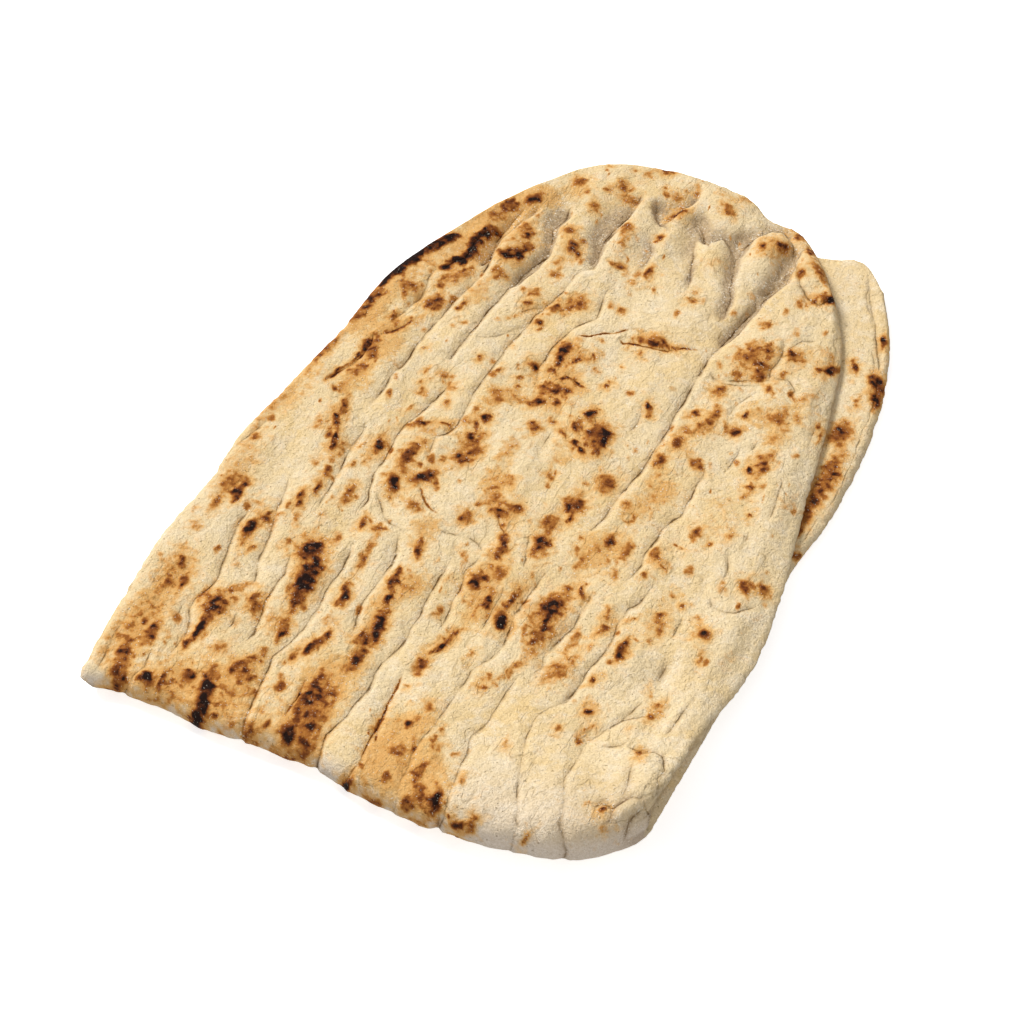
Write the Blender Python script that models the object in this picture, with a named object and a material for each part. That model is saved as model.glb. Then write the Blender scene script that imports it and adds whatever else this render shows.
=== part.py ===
import bmesh
import bpy
import numpy as np

# Folded lavash flatbread: one long sheet of bread, folded once across its middle.
# The fold lies at -Y and the two arched free ends lie on each other at +Y.
# Sizes and places are in millimetres, and MM turns them into Blender's metres.
MM = 0.001
NAME = "lavash"

# Sheet of bread
THICKNESS = 6.0
LEAF_GAP = 0.9
RIM_REACH = 2.8
RIM_TAPER_WIDTH = 9.0
RIM_THINNING = 0.15
HALF_WIDTH = 118.0
LEAF_LENGTH = 370.0

# Fold: centre-line radius of the bend, and the outer edge of the bend seen from above, by x
FOLD_RADIUS = [(-118, 3.6), (-60, 4.2), (0, 5.4), (45, 6.6), (85, 7.8), (118, 8.2)]
FOLD_EDGE = [(-118, -187), (-75, -187.5), (-30, -190), (-6, -191.5), (10, -196), (45, -198)]
FOLD_EDGE += [(74, -195), (90, -193), (103, -187), (118, -172)]
SETTLE_LENGTH = 75.0

# Sides of each leaf, as x by y, from the fold to the shoulder where the arched end starts
UPPER_LEFT = [(-190, -118), (-160, -123), (-100, -127), (-73, -123.5), (-45, -124.5)]
UPPER_LEFT += [(-5, -119.5), (34, -114.5), (85, -109.5), (108, -101), (142, -86.5)]
UPPER_RIGHT = [(-170, 118), (-148, 119.5), (-118, 119), (-75, 124.5), (-40, 122), (16, 113)]
UPPER_RIGHT += [(50, 108), (81, 102.5), (119, 93.5), (143, 82)]
LOWER_LEFT = [(-190, -118), (-136, -118), (-45, -119), (34, -113), (100, -101), (138, -88)]
LOWER_RIGHT = [(-170, 118), (-60, 120), (-9, 119.5), (13, 123), (39, 125.5), (70, 124.5)]
LOWER_RIGHT += [(102, 119.5), (134, 110), (165, 98)]

# Arched ends, as x and y from the left shoulder to the right one
UPPER_END = [(-86.5, 142), (-71, 168.5), (-54, 189.5), (-27, 199), (1, 199.5), (20, 197)]
UPPER_END += [(35, 187), (47, 185.5), (63, 171.5), (82, 143)]
LOWER_END = [(-88, 138), (-66, 166), (-35, 188), (8, 203), (30, 190), (50, 178)]
LOWER_END += [(64, 177), (80, 182), (98, 165)]

# Grid of the sheet: the bend takes the middle rows, and the faces that show are split again
COLUMNS = 18
ROWS = 40
BEND_ROWS = 8
SHOWN_CUTS = 2
RIM_CUTS = 2

# Furrows pressed along the bread, each as x by y, with the depth at its middle
FURROW_WIDTH = 4.5
FURROW_FADE = 14.0
FURROWS = [
    (1.6, [(-192, -98), (-136, -97), (-104, -99), (-80, -100)]),
    (1.6, [(-153, -79), (-118, -80), (-90, -86), (-58, -93)]),
    (1.4, [(-153, -69), (-128, -68), (-97, -73)]),
    (2.2, [(-72, -74), (-20, -78), (28, -80), (60, -78), (93, -72), (125, -77), (150, -73)]),
    (2.4, [(-198, -43), (-155, -52), (-100, -50), (-40, -61), (30, -61), (90, -58), (120, -51), (155, -55)]),
    (1.8, [(-130, -30), (-100, -33), (-68, -38)]),
    (2.0, [(-28, -45), (10, -43), (55, -42), (105, -34), (142, -31), (175, -27)]),
    (1.8, [(-196, -11), (-157, -12), (-118, -9), (-70, -11)]),
    (2.4, [(-200, 2), (-165, 0), (-137, -3), (-100, 0), (-65, 0)]),
    (1.8, [(33, -21), (55, -24), (86, -14), (115, -15)]),
    (1.6, [(-120, 26), (-85, 26), (-62, 28)]),
    (1.6, [(-185, 40), (-130, 40), (-97, 47), (-65, 50)]),
    (2.2, [(-38, 35), (10, 41), (50, 42), (80, 42), (115, 46), (140, 50), (165, 52)]),
    (1.8, [(-170, 62), (-145, 56), (-92, 67), (-50, 71)]),
    (1.8, [(-63, 58), (-25, 62), (10, 66), (52, 64), (75, 71)]),
    (1.4, [(-30, 118), (5, 101), (60, 100), (85, 97)]),
    (2.0, [(112, 38), (130, 34), (160, 28)]),
]

# Finger dimples and puffed blisters: x, y, half width, half length and height in the middle
DIMPLES_AND_BLISTERS = [
    (-60, 147, 7, 18, -2.6),
    (-38, 146, 6, 16, -2.4),
    (-16, 168, 6, 9, -2.6),
    (-12, 140, 7, 15, -2.6),
    (9, 164, 6, 12, -3.0),
    (14, 134, 5, 12, -2.0),
    (28, 165, 5, 8, -2.2),
    (53, 150, 5, 15, -2.6),
    (91, -95, 6, 10, -1.4),
    (42, 160, 9, 17, 2.4),
    (21, 146, 8, 13, 2.0),
    (-24, 140, 8, 17, 1.6),
    (-67, 118, 7, 18, 1.6),
    (-45, 128, 6, 20, 1.2),
    (2, 142, 7, 18, 1.2),
    (15, 183, 12, 8, 1.4),
    (72, 146, 10, 9, 1.8),
    (60, 92, 11, 13, 1.4),
    (14, 16, 12, 12, 1.0),
    (107, -160, 9, 9, 1.6),
]

# Broad unevenness of the sheet: wave lengths across and along, and its height
WAVE_ACROSS = 46.0
WAVE_ALONG = 83.0
WAVE_HEIGHT = 0.7
UNDERSIDE_DENT = 1.1

CRUST_COLOUR = (0.80, 0.63, 0.40, 1.0)
CRUST_ROUGHNESS = 0.85


def clear_scene():
    for item in list(bpy.data.objects):
        bpy.data.objects.remove(item, do_unlink=True)


def through(points, at):
    """A smooth line through (position, value) pairs, read at the given positions."""
    positions, values = np.array(points, float).T
    slopes = np.gradient(values, positions)
    at = np.clip(at, positions[0], positions[-1])
    left = np.clip(np.searchsorted(positions, at) - 1, 0, len(positions) - 2)
    step = positions[left + 1] - positions[left]
    t = (at - positions[left]) / step
    rise = values[left + 1] - values[left]
    start = slopes[left] * step
    end = slopes[left + 1] * step
    return values[left] + t * (start + t * (3 * rise - 2 * start - end + t * (start + end - 2 * rise)))


def along_arch(points, part):
    """The point at each part, from 0 to 1, of a smooth curve through x and y points."""
    steps = np.hypot(*np.diff(np.array(points, float), axis=0).T)
    reach = np.concatenate([[0], np.cumsum(steps)]) / steps.sum()
    x = through([(r, p[0]) for r, p in zip(reach, points)], part)
    y = through([(r, p[1]) for r, p in zip(reach, points)], part)
    return x, y


def smooth_step(t):
    t = np.clip(t, 0, 1)
    return t * t * (3 - 2 * t)


def bend_centre(x):
    """y of the bend's centre line, and its radius, at each x."""
    radius = through(FOLD_RADIUS, x)
    return through(FOLD_EDGE, x) + radius + THICKNESS / 2, radius


def coons_patch(u, v, sides, ends, corners):
    """One coordinate of the patch between a left and a right side, and a near and a far end."""
    across = (1 - u) * sides[0] + u * sides[1]
    along = (1 - v) * ends[0] + v * ends[1]
    near = (1 - u) * corners[0] + u * corners[1]
    far = (1 - u) * corners[2] + u * corners[3]
    return across + along - (1 - v) * near - v * far


def leaf_plan(across, along, left, right, end):
    """Plan position in a leaf, across from -1 to 1 and along from the bend to the arched end."""
    u = (across + 1) / 2
    near_y = [float(bend_centre(np.array(side[0][1]))[0]) for side in (left, right)]
    near_x = [float(through(side, np.array(y))) for side, y in zip((left, right), near_y)]
    side_y = [y + along * (tip[1] - y) for y, tip in zip(near_y, (end[0], end[-1]))]
    side_x = [through(side, y) for side, y in zip((left, right), side_y)]
    base_x = near_x[0] + u * (near_x[1] - near_x[0])
    base_y = bend_centre(base_x)[0]
    end_x, end_y = along_arch(end, u)
    x = coons_patch(u, along, side_x, (base_x, end_x), (*near_x, end[0][0], end[-1][0]))
    y = coons_patch(u, along, side_y, (base_y, end_y), (*near_y, end[0][1], end[-1][1]))
    return x, y


def broad_waves(x, y):
    across = np.sin(2 * np.pi * x / WAVE_ACROSS + 1.3 * np.sin(2 * np.pi * y / (1.7 * WAVE_ALONG)))
    along = np.sin(2 * np.pi * y / WAVE_ALONG + 0.8 * np.sin(2 * np.pi * x / (1.9 * WAVE_ACROSS)))
    return WAVE_HEIGHT * across * along


def crust_relief(x, y):
    """Height of the shown crust over the plain sheet: furrows, dimples and blisters."""
    height = broad_waves(x, y)
    for depth, line in FURROWS:
        first, last = line[0][0], line[-1][0]
        fade = smooth_step((y - first) / FURROW_FADE + 0.5) * smooth_step((last - y) / FURROW_FADE + 0.5)
        distance = (x - through(line, y)) / FURROW_WIDTH
        height = height - depth * fade * np.exp(-distance**2)
    for middle_x, middle_y, half_width, half_length, rise in DIMPLES_AND_BLISTERS:
        distance = ((x - middle_x) / half_width) ** 2 + ((y - middle_y) / half_length) ** 2
        height = height + rise * np.exp(-distance)
    return height


def underside_dents(x, y):
    """Hollows in the side that rests, with level ground contact between them."""
    return -UNDERSIDE_DENT * np.maximum(0, np.sin(x / 9 + y / 31) * np.sin(y / 17 - x / 23))


def centre_line(x, y, turn, upper, in_bend):
    """Middle of the sheet in the YZ plane, and the direction out of its outer side."""
    centre_y, radius = bend_centre(x)
    top_of_bend = THICKNESS / 2 + 2 * radius
    drop = top_of_bend - (1.5 * THICKNESS + LEAF_GAP)
    settled = np.clip((y - centre_y) / SETTLE_LENGTH, 0, 1)
    upper_z = top_of_bend - drop * smooth_step(settled)
    upper_slope = 6 * drop / SETTLE_LENGTH * settled * (1 - settled)
    leaf_z = np.where(upper, upper_z, THICKNESS / 2)
    leaf_out_y = np.where(upper, upper_slope, 0)
    line_y = np.where(in_bend, centre_y - radius * np.cos(turn), y)
    line_z = np.where(in_bend, THICKNESS / 2 + radius * (1 + np.sin(turn)), leaf_z)
    out_y = np.where(in_bend, -np.cos(turn), leaf_out_y)
    out_z = np.where(in_bend, np.sin(turn), np.where(upper, 1, -1))
    return line_y, line_z, out_y, out_z


def fold_sheet(slab):
    """Carries points of the flat slab (across, along, side; each from -1 to 1) to the folded bread."""
    across, along, side = slab.T
    bend_part = BEND_ROWS / ROWS
    in_bend = np.abs(along) <= bend_part
    upper = along > 0

    # The flat faces stop short of the outline, and the rim between them bulges out to it
    inset = 1 - np.sqrt(np.maximum(0, 1 - side**2))
    across = across * (1 - inset * RIM_REACH / HALF_WIDTH)
    along = along * (1 - inset * np.where(in_bend, 0, RIM_REACH / LEAF_LENGTH))
    leaf_part = np.clip((np.abs(along) - bend_part) / (1 - bend_part), 0, 1)
    upper_x, upper_y = leaf_plan(across, leaf_part, UPPER_LEFT, UPPER_RIGHT, UPPER_END)
    lower_x, lower_y = leaf_plan(across, leaf_part, LOWER_LEFT, LOWER_RIGHT, LOWER_END)
    x = np.where(upper, upper_x, lower_x)
    y = np.where(upper, upper_y, lower_y)

    # Half the sheet's thickness, a little less near the rim
    from_side = (1 - np.abs(across)) * HALF_WIDTH
    from_end = (1 - leaf_part) * LEAF_LENGTH
    inside = smooth_step(np.minimum(from_side, from_end) / RIM_TAPER_WIDTH)
    half = THICKNESS / 2 * (1 - RIM_THINNING * (1 - inside))

    # Relief on the outer side: over the bend, y for it is measured along the crust
    turn = np.clip(along / bend_part, -1, 1) * np.pi / 2
    crust_y = y - (np.pi / 2 - turn) * bend_centre(x)[1]
    shown = smooth_step(turn / (np.pi / 2) + 1) * (0.2 + 0.8 * inside)
    relief = crust_relief(x, crust_y) * shown
    relief += np.where(upper, 0, underside_dents(x, y)) * smooth_step(leaf_part * 8)
    height = -half + (side + 1) / 2 * (2 * half + relief)

    line_y, line_z, out_y, out_z = centre_line(x, y, turn, upper, in_bend)
    bread = np.stack([x, line_y + out_y * height, np.maximum(line_z + out_z * height, 0)], axis=1)
    bread[:, :2] -= (bread[:, :2].min(axis=0) + bread[:, :2].max(axis=0)) / 2
    return bread * MM


def flat_slab():
    """The sheet before it is folded, as a slab of one cell grid from -1 to 1 each way."""
    slab = bmesh.new()
    bmesh.ops.create_grid(slab, x_segments=COLUMNS, y_segments=ROWS, size=1)
    bmesh.ops.solidify(slab, geom=slab.faces[:], thickness=2)
    middle = (max(v.co.z for v in slab.verts) + min(v.co.z for v in slab.verts)) / 2
    for vertex in slab.verts:
        vertex.co.z -= middle
    rim = [e for e in slab.edges if abs(e.verts[0].co.z - e.verts[1].co.z) > 1]
    bmesh.ops.subdivide_edges(slab, edges=rim, cuts=RIM_CUTS, use_grid_fill=True)
    shown = [f for f in slab.faces if f.normal.z > 0.5 and f.calc_center_median().y > -BEND_ROWS / ROWS]
    shown_edges = list({edge for face in shown for edge in face.edges})
    bmesh.ops.subdivide_edges(slab, edges=shown_edges, cuts=SHOWN_CUTS, use_grid_fill=True)
    bmesh.ops.triangulate(slab, faces=slab.faces[:])
    return slab


def crust_material():
    material = bpy.data.materials.new("baked crust")
    material.use_nodes = True
    surface = material.node_tree.nodes["Principled BSDF"]
    surface.inputs["Base Color"].default_value = CRUST_COLOUR
    surface.inputs["Roughness"].default_value = CRUST_ROUGHNESS
    surface.inputs["Metallic"].default_value = 0.0
    material.diffuse_color = CRUST_COLOUR
    return material


def build_lavash():
    slab = flat_slab()
    bread = fold_sheet(np.array([v.co for v in slab.verts]))
    for vertex, place in zip(slab.verts, bread):
        vertex.co = place
    bmesh.ops.recalc_face_normals(slab, faces=slab.faces[:])
    mesh = bpy.data.meshes.new(NAME)
    slab.to_mesh(mesh)
    slab.free()
    mesh.shade_smooth()
    mesh.materials.append(crust_material())
    return bpy.data.objects.new(NAME, mesh)


clear_scene()
collection = bpy.data.collections.new("folded lavash")
bpy.context.scene.collection.children.link(collection)
collection.objects.link(build_lavash())
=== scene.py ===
import math

import bmesh
import bpy
import numpy as np
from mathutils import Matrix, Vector, noise


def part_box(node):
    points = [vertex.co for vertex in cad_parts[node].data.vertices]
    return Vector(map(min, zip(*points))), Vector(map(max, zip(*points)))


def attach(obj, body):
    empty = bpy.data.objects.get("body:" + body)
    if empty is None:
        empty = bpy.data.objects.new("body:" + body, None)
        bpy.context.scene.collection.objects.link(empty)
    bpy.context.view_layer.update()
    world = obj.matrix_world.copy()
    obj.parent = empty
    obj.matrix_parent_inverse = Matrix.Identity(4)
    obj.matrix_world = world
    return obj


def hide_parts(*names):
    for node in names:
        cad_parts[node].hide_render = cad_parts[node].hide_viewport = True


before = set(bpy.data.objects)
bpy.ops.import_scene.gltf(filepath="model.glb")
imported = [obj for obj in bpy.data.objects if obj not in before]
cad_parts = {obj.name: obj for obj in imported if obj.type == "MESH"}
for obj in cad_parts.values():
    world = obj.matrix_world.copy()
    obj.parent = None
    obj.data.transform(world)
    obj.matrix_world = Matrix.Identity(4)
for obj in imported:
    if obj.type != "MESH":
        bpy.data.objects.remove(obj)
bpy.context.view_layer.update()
print("frame loaded:", sorted(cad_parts))

# Places below are in millimetres, x across the bread and y from the fold to the arched ends,
# read on a level plane through the top crust as the camera sees them.
mm = 0.001

photoCamera = {
    "azimuth": 24.0,
    "elevation": 46.0,
    "lens": 100.0,
    "distance": 1208.7,
    "target": (-3.44, -29.03, 0.0),
    "readingHeight": 12.0,
    "planMiddle": (-1.86, 0.81),
    "sensor": 36.0,
    "nearest": 0.05,
    "farthest": 50.0,
}

breadSheet = {
    "thickness": 6.0,
    "leafGap": 0.9,
    "rimReach": 2.8,
    "rimTaper": 9.0,
    "rimThinning": 0.15,
    "rimSink": 3.2,  # how far the upper leaf's right rim sinks on top, below, and within which reach
    "rimSinkBelow": 0.7,
    "rimSinkReach": 15.0,
    "halfWidth": 118.0,
    "leafLength": 370.0,
    "settleLength": 75.0,
    "foldRadius": [(-118, 3.6), (-60, 4.2), (0, 5.4), (45, 6.6), (85, 7.8), (118, 8.2)],
    "foldEdge": [
        (-118, -189.5), (-106, -186.5), (-92, -186.6), (-76, -188.6), (-50, -189), (-30, -190), (-12, -190.8),
        (2, -195), (18, -197.6), (45, -198.6), (62, -198), (75, -196.6), (90, -193), (103, -186), (118, -170),
    ],
    # Sides as y by x, arched ends as x by y
    "upperLeft": [
        (-190, -119.5), (-160, -122.6), (-100, -126.2), (-73, -123.5), (-45, -124.5), (-5, -119.5),
        (34, -114.5), (85, -109.5), (108, -101), (142, -86.5),
    ],
    "upperRight": [
        (-170, 116), (-148, 118), (-118, 119), (-75, 124.5), (-40, 122), (16, 113),
        (50, 108), (81, 102.5), (119, 93.5), (143, 82),
    ],
    "lowerLeft": [(-190, -118), (-136, -118), (-45, -119), (34, -113), (100, -101), (138, -88)],
    "lowerRight": [
        (-170, 116), (-60, 120), (-9, 119.5), (13, 123), (39, 124.5), (70, 123.8),
        (102, 119.8), (134, 111.5), (165, 98),
    ],
    "upperEnd": [
        (-86.5, 142), (-71, 168.5), (-54, 189.5), (-27, 199), (1, 199.5), (20, 197),
        (35, 187), (47, 185.5), (63, 171.5), (82, 143),
    ],
    "lowerEnd": [
        (-88, 138), (-66, 166), (-35, 188), (8, 203), (30, 190), (50, 178),
        (64, 177), (80, 182), (98, 165),
    ],
    # Cells of the sheet, and how often the cells that show are split again
    "columns": 46,
    "rows": 104,
    "bendRows": 4,
    "rimCuts": 3,
    "shownCuts": 4,
    "undersideCuts": 2,
    "stripAcross": 0.78,
    "stripAlong": -0.4,
    # Unevenness
    "waveAcross": 46.0,
    "waveAlong": 83.0,
    "waveHeight": 0.7,
    "bumpHeight": 0.55,
    "wrinkleHeight": 0.16,
    "deepestRelief": 4.2,
    "raggedRim": 1.1,
    "blisterHeight": 0.55,
    "undersideDent": 1.1,
    "undersideFurrow": 0.9,
    "undersideFurrowApart": 18,
    "undersideFurrowWidth": 2.6,
    # How far broad and small lumps of noise shift the spots and the lines
    "spotShiftAcross": (1.9, 0.9),
    "spotShiftAlong": (2.5, 1.2),
    "lineShift": (1.0, 0.5),
}

# Pressed lines: depth and half width of the valley, depth of the narrow cut, and how charred it is
creaseKinds = {
    "deep": {"valley": 1.1, "width": 3.0, "cut": 1.0, "char": 0.0, "fade": 10.0},
    "furrow": {"valley": 0.7, "width": 2.7, "cut": 0.85, "char": 0.0, "fade": 10.0},
    "groove": {"valley": 0.4, "width": 2.4, "cut": 0.6, "char": 0.0, "fade": 8.0},
    "crease": {"valley": 0.25, "width": 1.8, "cut": 0.65, "char": 0.0, "fade": 4.0},
    "wrinkle": {"valley": 0.7, "width": 1.8, "cut": 0.7, "char": 0.0, "fade": 4.0},
    "pocket": {"valley": 2.5, "width": 3.8, "cut": 0.7, "char": 0.0, "fade": 7.0},
    "crack": {"valley": 0.35, "width": 2.0, "cut": 0.6, "char": 0.55, "fade": 4.0},
    "black": {"valley": 0.5, "width": 2.2, "cut": 0.8, "char": 0.85, "fade": 4.0},
    "blackFurrow": {"valley": 0.9, "width": 3.0, "cut": 0.9, "char": 0.62, "fade": 8.0},
    "thinCrack": {"valley": 0.2, "width": 1.5, "cut": 0.6, "char": 0.62, "fade": 5.0},
}

# What all pressed lines share, in millimetres but for the shares
pressing = {
    "steepSide": 0.5,  # share of the valley's width on the right and on the left of a line
    "gentleSide": 1.3,
    "cutWidth": 1.3,
    "cutShare": 0.7,
    "drawnWithin": 3.2,
    "drawnFade": 1.4,
    "keptClear": 4.4,
}
lineLayers = 3

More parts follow.
